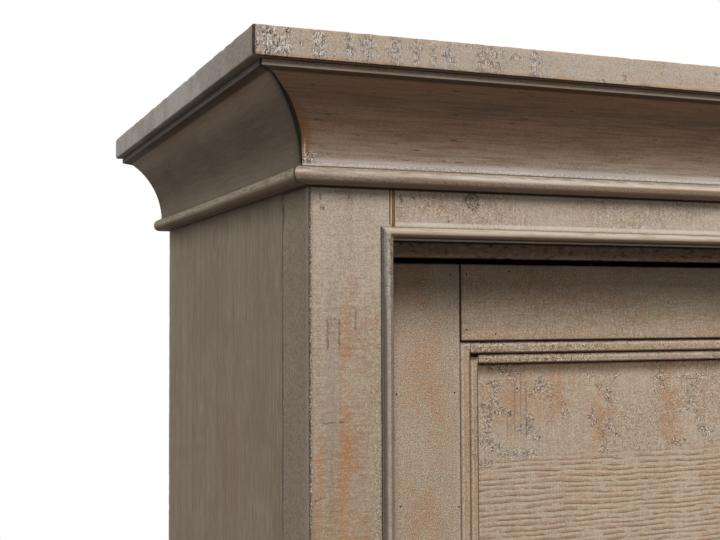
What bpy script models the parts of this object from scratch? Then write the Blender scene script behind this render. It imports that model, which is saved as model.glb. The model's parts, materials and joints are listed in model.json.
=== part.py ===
"""Door chest: a case with a coved cornice on a shaped base, two framed doors over two drawers.

Metres, +Z up. The doors face -Y. The origin is on the floor, under the middle of the chest.
"""
import bmesh
import bpy
from math import asin, cos, pi, radians, sin
from mathutils import Matrix, Vector

# Overall size
WIDTH = 1.118
DEPTH = 0.508
HEIGHT = 1.422

# Fits and edges
GAP = 0.0003
EASE = 0.0011
HIDDEN_EASE = 0.0006
EASE_STEPS = 2
OVERRUN = 0.004
WELD = 0.00001
FLAT = radians(0.1)
SMOOTH = radians(35)

# Top slab
SLAB_THICK = 0.020
SLAB_OVERHANG = 0.0565

# Cornice: a fillet under the slab, a cove, and a half-round bead at the foot
CORNICE_HEIGHT = 0.0739
FILLET_OVERHANG = 0.0492
FILLET_HEIGHT = 0.0043
COVE_RADIUS = 0.0692
COVE_TOP_OVERHANG = 0.0382
COVE_TOP_DROP = 0.0060
COVE_FOOT_OVERHANG = 0.0082
CORNICE_BEAD_RADIUS = 0.00585
CORNICE_BEAD_STEP = 0.0024
COVE_STEPS = 12
BEAD_STEPS = 8

# Corner posts, side panels and back
POST_WIDTH = 0.0622
POST_DEPTH = 0.0601
SIDE_THICK = 0.018
BACK_THICK = 0.006
BACK_REBATE = 0.008

# Face frame: rails between the posts, and the beads round the openings
RECESS = 0.020
TOP_RAIL_DROP = 0.0356
INNER_RAIL_DROP = 0.0120
MIDDLE_RAIL_HEIGHT = 0.040
DRAWER_RAIL_HEIGHT = 0.032
BOTTOM_RAIL_HEIGHT = 0.040
DRAWER_OPENING_HEIGHT = 0.190
BEAD_WIDTH = 0.0084
BEAD_FILLET = 0.0014
BEAD_FILLET_RISE = 0.0009

# Boards inside the case
BOARD_THICK = 0.018
HOUSING_DEPTH = 0.005
DOOR_STOP_RISE = 0.010
SHELF_THICK = 0.018

# Base boards
BASE_HEIGHT = 0.110
BASE_THICK = 0.030
BASE_PROUD = 0.012
BASE_EDGE = 0.007
BASE_EDGE_STEPS = 3
FRONT_FOOT = 0.150
SIDE_FOOT = 0.115
ARCH_HEIGHT = 0.055
ARCH_RADIUS = 0.032
ARCH_STEPS = 6

# Doors
DOOR_THICK = 0.022
DOOR_STILE = 0.060
DOOR_TOP_RAIL = 0.0574
DOOR_BOTTOM_RAIL = 0.0574
DOOR_TOP_GAP = 0.0040
DOOR_BOTTOM_GAP = 0.0030
MEETING_GAP = 0.0030
PANEL_THICK = 0.008
PANEL_TONGUE = 0.008
MOULDING_OUTER_BAND = 0.0091
MOULDING_INNER_BAND = 0.0078
MOULDING_STEP = 0.0027
TENON_THICK = 0.008
TENON_LENGTH = 0.028
TENON_SHOULDER = 0.012

# Butt hinges
HINGE_LENGTH = 0.064
HINGE_LEAF = 0.0010
HINGE_LEAF_DEPTH = 0.017
HINGE_PIN_RADIUS = 0.0012
HINGE_KNUCKLE_RADIUS = 0.0026
HINGE_KNUCKLES = 5
HINGE_PIN_HEAD = 0.0020
HINGE_INSET = 0.095
HINGE_SIDES = 16

# Drawers
DRAWER_FRONT_THICK = 0.022
DRAWER_FRONT_GAP = 0.0030
DRAWER_SIDE_THICK = 0.012
DRAWER_SIDE_HEIGHT = 0.160
DRAWER_BACK_CLEARANCE = 0.012
DRAWER_BOTTOM_THICK = 0.006
DRAWER_BOTTOM_RISE = 0.012
DRAWER_GROOVE = 0.005
TAIL_LENGTH = 0.015
TAIL_SLOPE = 1 / 6
TAIL_COUNT = 4
TAIL_WIDTH_SHARE = 0.62

# Knobs: turned, with a rosette against the wood
KNOB_RADIUS = 0.0165
KNOB_LENGTH = 0.027
KNOB_ROSETTE_RADIUS = 0.0115
KNOB_NECK_RADIUS = 0.0062
KNOB_SIDES = 20
DRAWER_KNOB_SPREAD = 0.480
# Height along the knob as a share of its length, and radius as a share of the way from neck to rim
KNOB_PROFILE_SHARES = (
    (0.985, 0.55),
    (0.93, 0.84),
    (0.83, 1.00),
    (0.72, 0.98),
    (0.62, 0.76),
    (0.52, 0.28),
    (0.42, 0.02),
    (0.30, 0.00),
)
KNOB_ROSETTE_SHARE = 0.16

# Derived places
SIDE = WIDTH / 2 - SLAB_OVERHANG
FRONT = -DEPTH / 2 + SLAB_OVERHANG
BACK = DEPTH / 2
UNDER_SLAB = HEIGHT - SLAB_THICK
OPENING = SIDE - POST_WIDTH
INSIDE = SIDE - SIDE_THICK
DOOR_FACE = FRONT + RECESS
RAIL_DEPTH = RECESS + DOOR_THICK
CARCASS_FRONT = FRONT + RAIL_DEPTH
DOOR_OPENING_TOP = UNDER_SLAB - CORNICE_HEIGHT - TOP_RAIL_DROP
INNER_RAIL_UNDER = DOOR_OPENING_TOP - INNER_RAIL_DROP
LOWER_DRAWER_FLOOR = BASE_HEIGHT + BOTTOM_RAIL_HEIGHT
LOWER_DRAWER_CEILING = LOWER_DRAWER_FLOOR + DRAWER_OPENING_HEIGHT
UPPER_DRAWER_FLOOR = LOWER_DRAWER_CEILING + DRAWER_RAIL_HEIGHT
UPPER_DRAWER_CEILING = UPPER_DRAWER_FLOOR + DRAWER_OPENING_HEIGHT
DOOR_OPENING_FLOOR = UPPER_DRAWER_CEILING + MIDDLE_RAIL_HEIGHT
CUPBOARD_FLOOR = DOOR_OPENING_FLOOR + DOOR_STOP_RISE
MOULDING_WIDTH = MOULDING_OUTER_BAND + MOULDING_INNER_BAND
PANEL_DEPTH = 3 * MOULDING_STEP
HINGE_GAP = 3 * GAP + 2 * HINGE_LEAF
PIN_ACROSS = OPENING - GAP - HINGE_KNUCKLE_RADIUS
PIN_FRONT = DOOR_FACE - GAP - HINGE_KNUCKLE_RADIUS
KNUCKLE_LENGTH = HINGE_LENGTH / HINGE_KNUCKLES

# Finishes: colour, roughness, metallic
GLAZED_PINE = ((0.42, 0.36, 0.28), 0.62, 0.0)
GLAZED_SIDE = ((0.34, 0.30, 0.24), 0.60, 0.0)
BARE_PINE = ((0.56, 0.43, 0.29), 0.70, 0.0)
AGED_IRON = ((0.07, 0.06, 0.05), 0.45, 0.85)

for leftover in list(bpy.data.objects):
    bpy.data.objects.remove(leftover, do_unlink=True)

chest = bpy.data.collections.new("door_chest")
cutters = bpy.data.collections.new("cutters")
for collection in (chest, cutters):
    bpy.context.scene.collection.children.link(collection)


def keep(name, mesh, place, finish, parent=None):
    """Make a mesh the chest's piece of that name, at a place in the chest."""
    piece = bpy.data.objects.new(name, mesh)
    chest.objects.link(piece)
    if parent is not None:
        piece.parent = parent
        place = Vector(place) - parent.location
    piece.location = place
    colour, roughness, metallic = finish
    material = bpy.data.materials.new(name + "_finish")
    material.use_nodes = True
    shader = material.node_tree.nodes["Principled BSDF"]
    shader.inputs["Base Color"].default_value = (*colour, 1)
    shader.inputs["Roughness"].default_value = roughness
    shader.inputs["Metallic"].default_value = metallic
    mesh.materials.append(material)
    return piece


def keep_cutter(name, mesh, place):
    """Make a mesh a cutter, which isn't part of the chest."""
    tool = bpy.data.objects.new(name, mesh)
    cutters.objects.link(tool)
    tool.location = place
    tool.hide_render = True
    tool.display_type = "WIRE"
    return tool


def pivot(name, place):
    """An empty on a moving piece's axis."""
    empty = bpy.data.objects.new(name, None)
    chest.objects.link(empty)
    empty.location = place
    return empty


def box_mesh(name, size):
    mesh = bpy.data.meshes.new(name)
    shape = bmesh.new()
    bmesh.ops.create_cube(shape, size=1)
    bmesh.ops.scale(shape, vec=size, verts=shape.verts)
    shape.to_mesh(mesh)
    shape.free()
    return mesh


def corners(first, second):
    """The lowest and highest corner of a box, so that a mirrored one may give its ends either way."""
    low = Vector(min(pair) for pair in zip(first, second))
    high = Vector(max(pair) for pair in zip(first, second))
    return low, high


def ease_edges(piece, width, steps=EASE_STEPS):
    bevel = piece.modifiers.new("eased edges", "BEVEL")
    bevel.width = width
    bevel.segments = steps
    bevel.limit_method = "ANGLE"


def board(name, first, second, finish=GLAZED_PINE, parent=None, shown=True):
    """A straight board between two corners, its edges eased."""
    low, high = corners(first, second)
    piece = keep(name, box_mesh(name, high - low), (low + high) / 2, finish, parent)
    if shown:
        ease_edges(piece, EASE)
    else:
        ease_edges(piece, HIDDEN_EASE, 1)
    return piece


def box_cutter(name, first, second, grow=0):
    low, high = corners(first, second)
    margin = Vector((grow, grow, grow))
    low = low - margin
    high = high + margin
    return keep_cutter(name, box_mesh(name, high - low), (low + high) / 2)


def combine(piece, tool, operation):
    boolean = piece.modifiers.new(tool.name, "BOOLEAN")
    boolean.operation = operation
    boolean.solver = "EXACT"
    boolean.object = tool


def cut(piece, tool):
    combine(piece, tool, "DIFFERENCE")


def join(piece, tool):
    combine(piece, tool, "UNION")


def arc(centre, radius, start, end, steps):
    """Points on a round stretch of an outline."""
    turns = [start + (end - start) * step / steps for step in range(steps + 1)]
    return [(centre[0] + radius * cos(turn), centre[1] + radius * sin(turn)) for turn in turns]


def extruded(outlines, thickness, place, across, up):
    """Flat outlines as a filled curve, extruded square to them and made a mesh in the chest's frame."""
    curve = bpy.data.curves.new("outline", "CURVE")
    curve.dimensions = "2D"
    curve.fill_mode = "BOTH"
    curve.extrude = thickness / 2
    for outline in outlines:
        spline = curve.splines.new("POLY")
        spline.points.add(len(outline) - 1)
        for point, (u, v) in zip(spline.points, outline):
            point.co = (u, v, 0, 1)
        spline.use_cyclic_u = True
    drawn = bpy.data.objects.new("outline", curve)
    bpy.context.scene.collection.objects.link(drawn)
    depsgraph = bpy.context.evaluated_depsgraph_get()
    mesh = bpy.data.meshes.new_from_object(drawn.evaluated_get(depsgraph))
    bpy.data.objects.remove(drawn, do_unlink=True)
    across, up = Vector(across), Vector(up)
    turned = Matrix((across, up, across.cross(up))).transposed().to_4x4()
    shape = bmesh.new()
    shape.from_mesh(mesh)
    bmesh.ops.remove_doubles(shape, verts=shape.verts, dist=WELD)
    bmesh.ops.dissolve_limit(shape, angle_limit=FLAT, verts=shape.verts, edges=shape.edges)
    bmesh.ops.recalc_face_normals(shape, faces=shape.faces)
    bmesh.ops.transform(shape, matrix=Matrix.Translation(place) @ turned, verts=shape.verts)
    bpy.data.meshes.remove(mesh)
    return shape


def mitre(shape, corner, keep_towards):
    """Cut a shape by an upright plane through a corner, half a gap short of it, and close the cut."""
    normal = -Vector(keep_towards).normalized()
    geometry = shape.verts[:] + shape.edges[:] + shape.faces[:]
    sliced = bmesh.ops.bisect_plane(
        shape, geom=geometry, dist=WELD, plane_co=Vector(corner) - normal * GAP / 2,
        plane_no=normal, clear_outer=True,
    )
    edges = [part for part in sliced["geom_cut"] if isinstance(part, bmesh.types.BMEdge)]
    bmesh.ops.edgeloop_fill(shape, edges=edges)
    bmesh.ops.recalc_face_normals(shape, faces=shape.faces)


def mesh_of(shape, name):
    mesh = bpy.data.meshes.new(name)
    shape.to_mesh(mesh)
    shape.free()
    mesh.shade_smooth()
    mesh.set_sharp_from_angle(angle=SMOOTH)
    return mesh


def mitred_frame(name, half_width, half_height, profile):
    """A frame round an opening: a profile spun in four steps, then drawn out to the opening's shape.

    The profile gives how far each point lies outside the opening and in front of the frame's place.
    """
    shape = bmesh.new()
    loop = [shape.verts.new((half_height + out, -ahead, half_height + out)) for out, ahead in profile]
    edges = [shape.edges.new((loop[index - 1], loop[index])) for index in range(len(loop))]
    bmesh.ops.spin(
        shape, geom=loop + edges, cent=(0, 0, 0), axis=(0, 1, 0), angle=2 * pi, steps=4, use_merge=True
    )
    bmesh.ops.remove_doubles(shape, verts=shape.verts, dist=WELD)
    widen = half_width - half_height
    right = [vert for vert in shape.verts if vert.co.x > 0]
    left = [vert for vert in shape.verts if vert.co.x < 0]
    bmesh.ops.translate(shape, vec=(widen, 0, 0), verts=right)
    bmesh.ops.translate(shape, vec=(-widen, 0, 0), verts=left)
    bmesh.ops.recalc_face_normals(shape, faces=shape.faces)
    return mesh_of(shape, name)


def top_slab():
    board("top_slab", (-WIDTH / 2, -DEPTH / 2, UNDER_SLAB), (WIDTH / 2, DEPTH / 2, HEIGHT))


def cornice_outline():
    """Overhang from the case against height from the slab's underside, anticlockwise."""
    cove_foot_drop = CORNICE_HEIGHT - 2 * CORNICE_BEAD_RADIUS
    top = Vector((COVE_TOP_OVERHANG, -COVE_TOP_DROP))
    foot = Vector((COVE_FOOT_OVERHANG, -cove_foot_drop))
    chord = top - foot
    half_sweep = asin(chord.length / 2 / COVE_RADIUS)
    towards_centre = Vector((chord.y, -chord.x)).normalized()
    centre = (top + foot) / 2 + towards_centre * COVE_RADIUS * cos(half_sweep)
    middle = (-towards_centre).angle_signed(Vector((1, 0)))
    cove = arc(centre, COVE_RADIUS, middle - half_sweep, middle + half_sweep, COVE_STEPS)
    bead_centre = (COVE_FOOT_OVERHANG + CORNICE_BEAD_STEP, -CORNICE_HEIGHT + CORNICE_BEAD_RADIUS)
    bead = arc(bead_centre, CORNICE_BEAD_RADIUS, pi / 2, -pi / 2, BEAD_STEPS)
    outline = [(GAP, -CORNICE_HEIGHT), (GAP, -GAP), (FILLET_OVERHANG, -GAP), (FILLET_OVERHANG, -FILLET_HEIGHT)]
    return outline + cove + bead


def cornice():
    """Three lengths of one moulding, mitred at the two front corners."""
    outline = cornice_outline()
    left_corner = (-SIDE, FRONT, UNDER_SLAB)
    right_corner = (SIDE, FRONT, UNDER_SLAB)
    front = extruded([outline], WIDTH, (0, FRONT, UNDER_SLAB), (0, -1, 0), (0, 0, 1))
    mitre(front, left_corner, (1, -1, 0))
    mitre(front, right_corner, (-1, -1, 0))
    keep("cornice_front", mesh_of(front, "cornice_front"), (0, 0, 0), GLAZED_PINE)
    for name, side in (("cornice_left", -1), ("cornice_right", 1)):
        place = (side * SIDE, 0, UNDER_SLAB)
        run = extruded([outline], DEPTH, place, (side, 0, 0), (0, 0, 1))
        mitre(run, (side * SIDE, FRONT, UNDER_SLAB), (side, 1, 0))
        keep(name, mesh_of(run, name), (0, 0, 0), GLAZED_PINE)


def posts():
    """Square corner posts, which the rails meet and the carcass boards are notched round."""
    notches = []
    for name, side in (("left_post", -1), ("right_post", 1)):
        low = (side * SIDE, FRONT, BASE_HEIGHT + GAP)
        high = (side * OPENING, FRONT + POST_DEPTH, UNDER_SLAB - GAP)
        board(name, low, high)
        notches.append(box_cutter(name + "_notch", low, high, GAP))
    return notches


def side_panels():
    """The sides of the case, housed for each board and rebated for the back."""
    panels = []
    for name, side in (("left_side_panel", -1), ("right_side_panel", 1)):
        low = (side * SIDE, FRONT + POST_DEPTH + GAP, BASE_HEIGHT + GAP)
        high = (side * INSIDE, BACK, UNDER_SLAB - GAP)
        panels.append(board(name, low, high, GLAZED_SIDE))
    return panels


def back_panel(panels):
    reach = INSIDE + BACK_REBATE
    low = (-reach, BACK - BACK_THICK, BASE_HEIGHT + GAP)
    high = (reach, BACK, UNDER_SLAB - GAP)
    board("back_panel", low, high, BARE_PINE, shown=False)
    outside = (reach, BACK + OVERRUN, UNDER_SLAB + OVERRUN)
    inside = (-reach, BACK - BACK_THICK, BASE_HEIGHT - OVERRUN)
    rebate = box_cutter("back_rebate", inside, outside, GAP)
    for panel in panels:
        cut(panel, rebate)


def carcass_board(name, top, thickness, panels, notches):
    """A board from side to side, let into both side panels and notched round the posts."""
    reach = INSIDE + HOUSING_DEPTH
    low = (-reach, CARCASS_FRONT + GAP, top - thickness)
    high = (reach, BACK - BACK_THICK - GAP, top)
    piece = board(name, low, high, BARE_PINE, shown=False)
    for notch in notches:
        cut(piece, notch)
    housing = box_cutter(name + "_housing", low, high, GAP)
    for panel in panels:
        cut(panel, housing)


def rails():
    """The rails of the face frame, between the posts."""
    reach = OPENING - GAP
    board(
        "top_rail", (-reach, FRONT, DOOR_OPENING_TOP), (reach, FRONT + RECESS, UNDER_SLAB - GAP)
    )
    board(
        "inner_top_rail", (-reach, FRONT + RECESS + GAP, INNER_RAIL_UNDER),
        (reach, CARCASS_FRONT, UNDER_SLAB - GAP),
    )
    lower_rails = (
        ("middle_rail", UPPER_DRAWER_CEILING, DOOR_OPENING_FLOOR),
        ("drawer_rail", LOWER_DRAWER_CEILING, UPPER_DRAWER_FLOOR),
        ("bottom_rail", BASE_HEIGHT + GAP, LOWER_DRAWER_FLOOR),
    )
    for name, bottom, top in lower_rails:
        board(name, (-reach, FRONT, bottom), (reach, CARCASS_FRONT, top))


def opening_bead(name, floor, ceiling):
    """A mitred bead on the face of the frame, flush with the edge of its opening."""
    radius = (BEAD_WIDTH - BEAD_FILLET) / 2
    rounded = arc((radius, BEAD_FILLET_RISE), radius, pi, 0, BEAD_STEPS)
    profile = [(0, GAP)] + rounded + [(BEAD_WIDTH, BEAD_FILLET_RISE), (BEAD_WIDTH, GAP)]
    mesh = mitred_frame(name, OPENING, (ceiling - floor) / 2, profile)
    keep(name, mesh, (0, FRONT, (floor + ceiling) / 2), GLAZED_PINE)


def base_outline(half_length, first_foot, last_foot):
    """A base board's face: a foot at each end and a round-cornered arch between."""
    start = -half_length + first_foot
    end = half_length - last_foot
    spring = ARCH_HEIGHT - ARCH_RADIUS
    rise = arc((start + ARCH_RADIUS, spring), ARCH_RADIUS, pi, pi / 2, ARCH_STEPS)
    fall = arc((end - ARCH_RADIUS, spring), ARCH_RADIUS, pi / 2, 0, ARCH_STEPS)
    feet = [(-half_length, 0), (start, 0)] + rise + fall + [(end, 0), (half_length, 0)]
    return feet + [(half_length, BASE_HEIGHT), (-half_length, BASE_HEIGHT)]


def round_top_edge(shape, outward, face):
    """Round the upper outer edge of a base board."""
    outward = Vector(outward)
    edge = [
        edge for edge in shape.edges
        if all(vert.co.z > BASE_HEIGHT - WELD and vert.co.dot(outward) > face - WELD for vert in edge.verts)
    ]
    bmesh.ops.bevel(
        shape, geom=edge, offset=BASE_EDGE, segments=BASE_EDGE_STEPS, profile=0.5, affect="EDGES"
    )


def base():
    """Three base boards, standing proud of the case and mitred at the front corners."""
    outer_side = SIDE + BASE_PROUD
    outer_front = -FRONT + BASE_PROUD
    middle = -outer_front + BASE_THICK / 2
    front = extruded(
        [base_outline(outer_side, FRONT_FOOT, FRONT_FOOT)], BASE_THICK, (0, middle, 0), (1, 0, 0), (0, 0, 1)
    )
    round_top_edge(front, (0, -1, 0), outer_front)
    mitre(front, (-outer_side, -outer_front, 0), (1, -1, 0))
    mitre(front, (outer_side, -outer_front, 0), (-1, -1, 0))
    keep("base_front", mesh_of(front, "base_front"), (0, 0, 0), GLAZED_PINE)
    half_length = (BACK + outer_front) / 2
    for name, side in (("base_left", -1), ("base_right", 1)):
        place = (side * (outer_side - BASE_THICK / 2), (BACK - outer_front) / 2, 0)
        run = extruded([base_outline(half_length, SIDE_FOOT, SIDE_FOOT)], BASE_THICK, place, (0, 1, 0), (0, 0, 1))
        round_top_edge(run, (side, 0, 0), outer_side)
        mitre(run, (side * outer_side, -outer_front, 0), (side, 1, 0))
        keep(name, mesh_of(run, name), (0, 0, 0), GLAZED_PINE)


def knob(name, place, parent):
    """A turned knob whose axis points forwards."""
    rosette = KNOB_ROSETTE_SHARE * KNOB_LENGTH
    points = [
        (KNOB_NECK_RADIUS + (KNOB_RADIUS - KNOB_NECK_RADIUS) * out, KNOB_LENGTH * along)
        for along, out in KNOB_PROFILE_SHARES
    ]
    points = [(0, KNOB_LENGTH)] + points
    points += [(KNOB_NECK_RADIUS, rosette), (KNOB_ROSETTE_RADIUS, rosette / 2), (KNOB_ROSETTE_RADIUS, 0), (0, 0)]
    shape = bmesh.new()
    line = [shape.verts.new((radius, 0, along)) for radius, along in points]
    for index in range(len(line) - 1):
        shape.edges.new((line[index], line[index + 1]))
    piece = keep(name, mesh_of(shape, name), place, AGED_IRON, parent)
    piece.rotation_euler = (pi / 2, 0, 0)
    screw = piece.modifiers.new("turned", "SCREW")
    screw.steps = KNOB_SIDES
    screw.render_steps = KNOB_SIDES
    screw.use_merge_vertices = True
    screw.merge_threshold = WELD


def panelled_door(side, name):
    """One door: mortised stiles and rails, a panel in their grooves, a stepped moulding, a knob."""
    hinge_edge = OPENING - HINGE_GAP
    meeting_edge = MEETING_GAP / 2
    foot = DOOR_OPENING_FLOOR + DOOR_BOTTOM_GAP
    head = INNER_RAIL_UNDER - DOOR_TOP_GAP
    back = DOOR_FACE + DOOR_THICK
    middle = (foot + head) / 2
    hung = pivot(name + "_pivot", (side * PIN_ACROSS, PIN_FRONT, middle))

    stiles = []
    for which, edge, towards in (("hinge", hinge_edge, -1), ("meeting", meeting_edge, 1)):
        low = (side * edge, DOOR_FACE, foot)
        high = (side * (edge + towards * DOOR_STILE), back, head)
        stiles.append(board(f"{name}_{which}_stile", low, high, parent=hung))

    inner_hinge = hinge_edge - DOOR_STILE
    inner_meeting = meeting_edge + DOOR_STILE
    inner_foot = foot + DOOR_BOTTOM_RAIL
    inner_head = head - DOOR_TOP_RAIL
    panel_face = DOOR_FACE + PANEL_DEPTH
    rail_pieces = []
    for which, bottom, top in (("top", inner_head, head), ("bottom", foot, inner_foot)):
        rail_name = f"{name}_{which}_rail"
        low = (side * (inner_hinge - GAP), DOOR_FACE, bottom)
        high = (side * (inner_meeting + GAP), back, top)
        rail = board(rail_name, low, high, parent=hung)
        tenon_low = (side * (inner_hinge + TENON_LENGTH), panel_face, bottom + TENON_SHOULDER)
        tenon_high = (
            side * (inner_meeting - TENON_LENGTH), panel_face + TENON_THICK, top - TENON_SHOULDER
        )
        join(rail, box_cutter(rail_name + "_tenons", tenon_low, tenon_high))
        mortise = box_cutter(rail_name + "_mortises", tenon_low, tenon_high, GAP)
        for stile in stiles:
            cut(stile, mortise)
        rail_pieces.append(rail)

    low = (side * (inner_hinge + PANEL_TONGUE), panel_face, inner_foot - PANEL_TONGUE)
    high = (side * (inner_meeting - PANEL_TONGUE), panel_face + PANEL_THICK, inner_head + PANEL_TONGUE)
    board(f"{name}_panel", low, high, parent=hung, shown=False)
    groove = box_cutter(f"{name}_panel_groove", low, high, GAP)
    for piece in stiles + rail_pieces:
        cut(piece, groove)

    half_width = (inner_hinge - inner_meeting) / 2 - MOULDING_WIDTH
    half_height = (inner_head - inner_foot) / 2 - MOULDING_WIDTH
    rise = PANEL_DEPTH - MOULDING_STEP
    profile = [
        (0, GAP), (0, rise - MOULDING_STEP), (MOULDING_INNER_BAND, rise - MOULDING_STEP),
        (MOULDING_INNER_BAND, rise), (MOULDING_WIDTH - GAP, rise), (MOULDING_WIDTH - GAP, GAP),
    ]
    moulding = mitred_frame(f"{name}_moulding", half_width, half_height, profile)
    centre = (side * (inner_hinge + inner_meeting) / 2, panel_face, (inner_head + inner_foot) / 2)
    keep(f"{name}_moulding", moulding, centre, GLAZED_PINE, hung)

    knob_place = (side * (meeting_edge + DOOR_STILE / 2), DOOR_FACE - GAP, middle)
    knob(f"{name}_knob", knob_place, hung)
    for which, height in (("upper", head - HINGE_INSET), ("lower", foot + HINGE_INSET)):
        butt_hinge(side, f"{name}_{which}_hinge", height, hung)


def rod(name, radius, bottom, top, place):
    """An upright cutter or boss round a hinge's axis."""
    mesh = bpy.data.meshes.new(name)
    shape = bmesh.new()
    bmesh.ops.create_cone(
        shape, cap_ends=True, segments=HINGE_SIDES, radius1=radius, radius2=radius, depth=top - bottom
    )
    shape.to_mesh(mesh)
    shape.free()
    return keep_cutter(name, mesh, (place[0], place[1], (bottom + top) / 2))


def butt_hinge(side, name, height, hung):
    """Two leaves with interleaved knuckles: the post's leaf carries the pin, the door's leaf turns on it."""
    axis = (side * PIN_ACROSS, PIN_FRONT)
    foot = height - HINGE_LENGTH / 2
    post_face = OPENING - GAP
    door_face = post_face - HINGE_LEAF - GAP
    plates = (("case_leaf", post_face, None, 0), ("door_leaf", door_face, hung, 1))
    for which, face, carrier, first in plates:
        leaf_name = f"{name}_{which}"
        low = (side * face, DOOR_FACE, foot)
        high = (side * (face - HINGE_LEAF), DOOR_FACE + HINGE_LEAF_DEPTH, foot + HINGE_LENGTH)
        low, high = corners(low, high)
        leaf = keep(leaf_name, box_mesh(leaf_name, high - low), (low + high) / 2, AGED_IRON, carrier)
        for index in range(first, HINGE_KNUCKLES, 2):
            bottom = foot + index * KNUCKLE_LENGTH + GAP / 2
            top = bottom + KNUCKLE_LENGTH - GAP
            join(leaf, rod(f"{leaf_name}_knuckle_{index}", HINGE_KNUCKLE_RADIUS, bottom, top, axis))
            reach_low = (side * face, PIN_FRONT, bottom)
            reach_high = (side * (face - HINGE_LEAF), DOOR_FACE + OVERRUN, top)
            join(leaf, box_cutter(f"{leaf_name}_reach_{index}", reach_low, reach_high))
        pin_low = foot - HINGE_PIN_HEAD
        pin_high = foot + HINGE_LENGTH + HINGE_PIN_HEAD
        if carrier is None:
            join(leaf, rod(leaf_name + "_pin", HINGE_PIN_RADIUS, pin_low, pin_high, axis))
        else:
            cut(leaf, rod(leaf_name + "_bore", HINGE_PIN_RADIUS + GAP, pin_low, pin_high, axis))


def tails(bottom, root, tip, grow=0, past_root=0, past_tip=0):
    """The dovetails along one end of a drawer side, each from its root line round its tip."""
    pitch = DRAWER_SIDE_HEIGHT / TAIL_COUNT
    half_tip = pitch * TAIL_WIDTH_SHARE / 2
    half_root = half_tip - abs(tip - root) * TAIL_SLOPE
    forwards = 1 if tip > root else -1
    wide = half_tip + past_tip * TAIL_SLOPE + grow
    narrow = half_root - past_root * TAIL_SLOPE + grow
    start = root - forwards * past_root
    end = tip + forwards * past_tip
    middles = [bottom + pitch * (index + 1 / 2) for index in range(TAIL_COUNT)]
    return [
        [(start, middle - narrow), (end, middle - wide), (end, middle + wide), (start, middle + narrow)]
        for middle in middles
    ]


def drawer(name, floor, ceiling):
    """One drawer: an inset front, dovetailed sides and back, a bottom in grooves, two knobs."""
    front_back = DOOR_FACE + DRAWER_FRONT_THICK
    end = BACK - BACK_THICK - DRAWER_BACK_CLEARANCE
    back_front = end - DRAWER_SIDE_THICK
    half = OPENING - DRAWER_FRONT_GAP
    bottom = floor + GAP
    top = bottom + DRAWER_SIDE_HEIGHT
    sliding = pivot(name + "_runner", (0, DOOR_FACE, bottom))

    low = (-half, DOOR_FACE, floor + DRAWER_FRONT_GAP)
    high = (half, front_back, ceiling - DRAWER_FRONT_GAP)
    front = board(name + "_front", low, high, parent=sliding)
    rear = board(
        name + "_back", (-half, back_front, bottom), (half, end, top), BARE_PINE, sliding, shown=False
    )

    inner = half - DRAWER_SIDE_THICK
    bottom_low = (-inner - DRAWER_GROOVE, front_back - DRAWER_GROOVE, bottom + DRAWER_BOTTOM_RISE)
    bottom_high = (
        inner + DRAWER_GROOVE, back_front + DRAWER_GROOVE, bottom + DRAWER_BOTTOM_RISE + DRAWER_BOTTOM_THICK
    )
    board(name + "_bottom", bottom_low, bottom_high, BARE_PINE, sliding, shown=False)
    groove = box_cutter(name + "_groove", bottom_low, bottom_high, GAP)

    front_tip = front_back - TAIL_LENGTH
    front_root = front_back + GAP
    back_root = back_front - GAP
    socket_thick = DRAWER_SIDE_THICK + OVERRUN + GAP
    for which, side in (("left", -1), ("right", 1)):
        side_middle = side * (half - DRAWER_SIDE_THICK / 2)
        socket_middle = side * (half + OVERRUN - socket_thick / 2)
        outline = [(back_root, bottom), (front_root, bottom)]
        for tail in tails(bottom, front_root, front_tip):
            outline += tail
        outline += [(front_root, top), (back_root, top)]
        for tail in reversed(tails(bottom, back_root, end)):
            outline += tail[::-1]
        shape = extruded([outline], DRAWER_SIDE_THICK, (side_middle, 0, 0), (0, 1, 0), (0, 0, 1))
        bmesh.ops.translate(shape, vec=-sliding.location, verts=shape.verts)
        side_name = f"{name}_{which}_side"
        side_piece = keep(side_name, mesh_of(shape, side_name), sliding.location, BARE_PINE, sliding)
        cut(side_piece, groove)
        sockets = (
            (front, tails(bottom, front_root, front_tip, GAP, OVERRUN, GAP)),
            (rear, tails(bottom, back_root, end, GAP, OVERRUN, OVERRUN)),
        )
        for end_board, outlines in sockets:
            cutter_name = f"{end_board.name}_{which}_sockets"
            shape = extruded(outlines, socket_thick, (socket_middle, 0, 0), (0, 1, 0), (0, 0, 1))
            cut(end_board, keep_cutter(cutter_name, mesh_of(shape, cutter_name), (0, 0, 0)))
    for piece in (front, rear):
        cut(piece, groove)
    for which, side in (("left", -1), ("right", 1)):
        place = (side * DRAWER_KNOB_SPREAD / 2, DOOR_FACE - GAP, (floor + ceiling) / 2)
        knob(f"{name}_{which}_knob", place, sliding)


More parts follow.
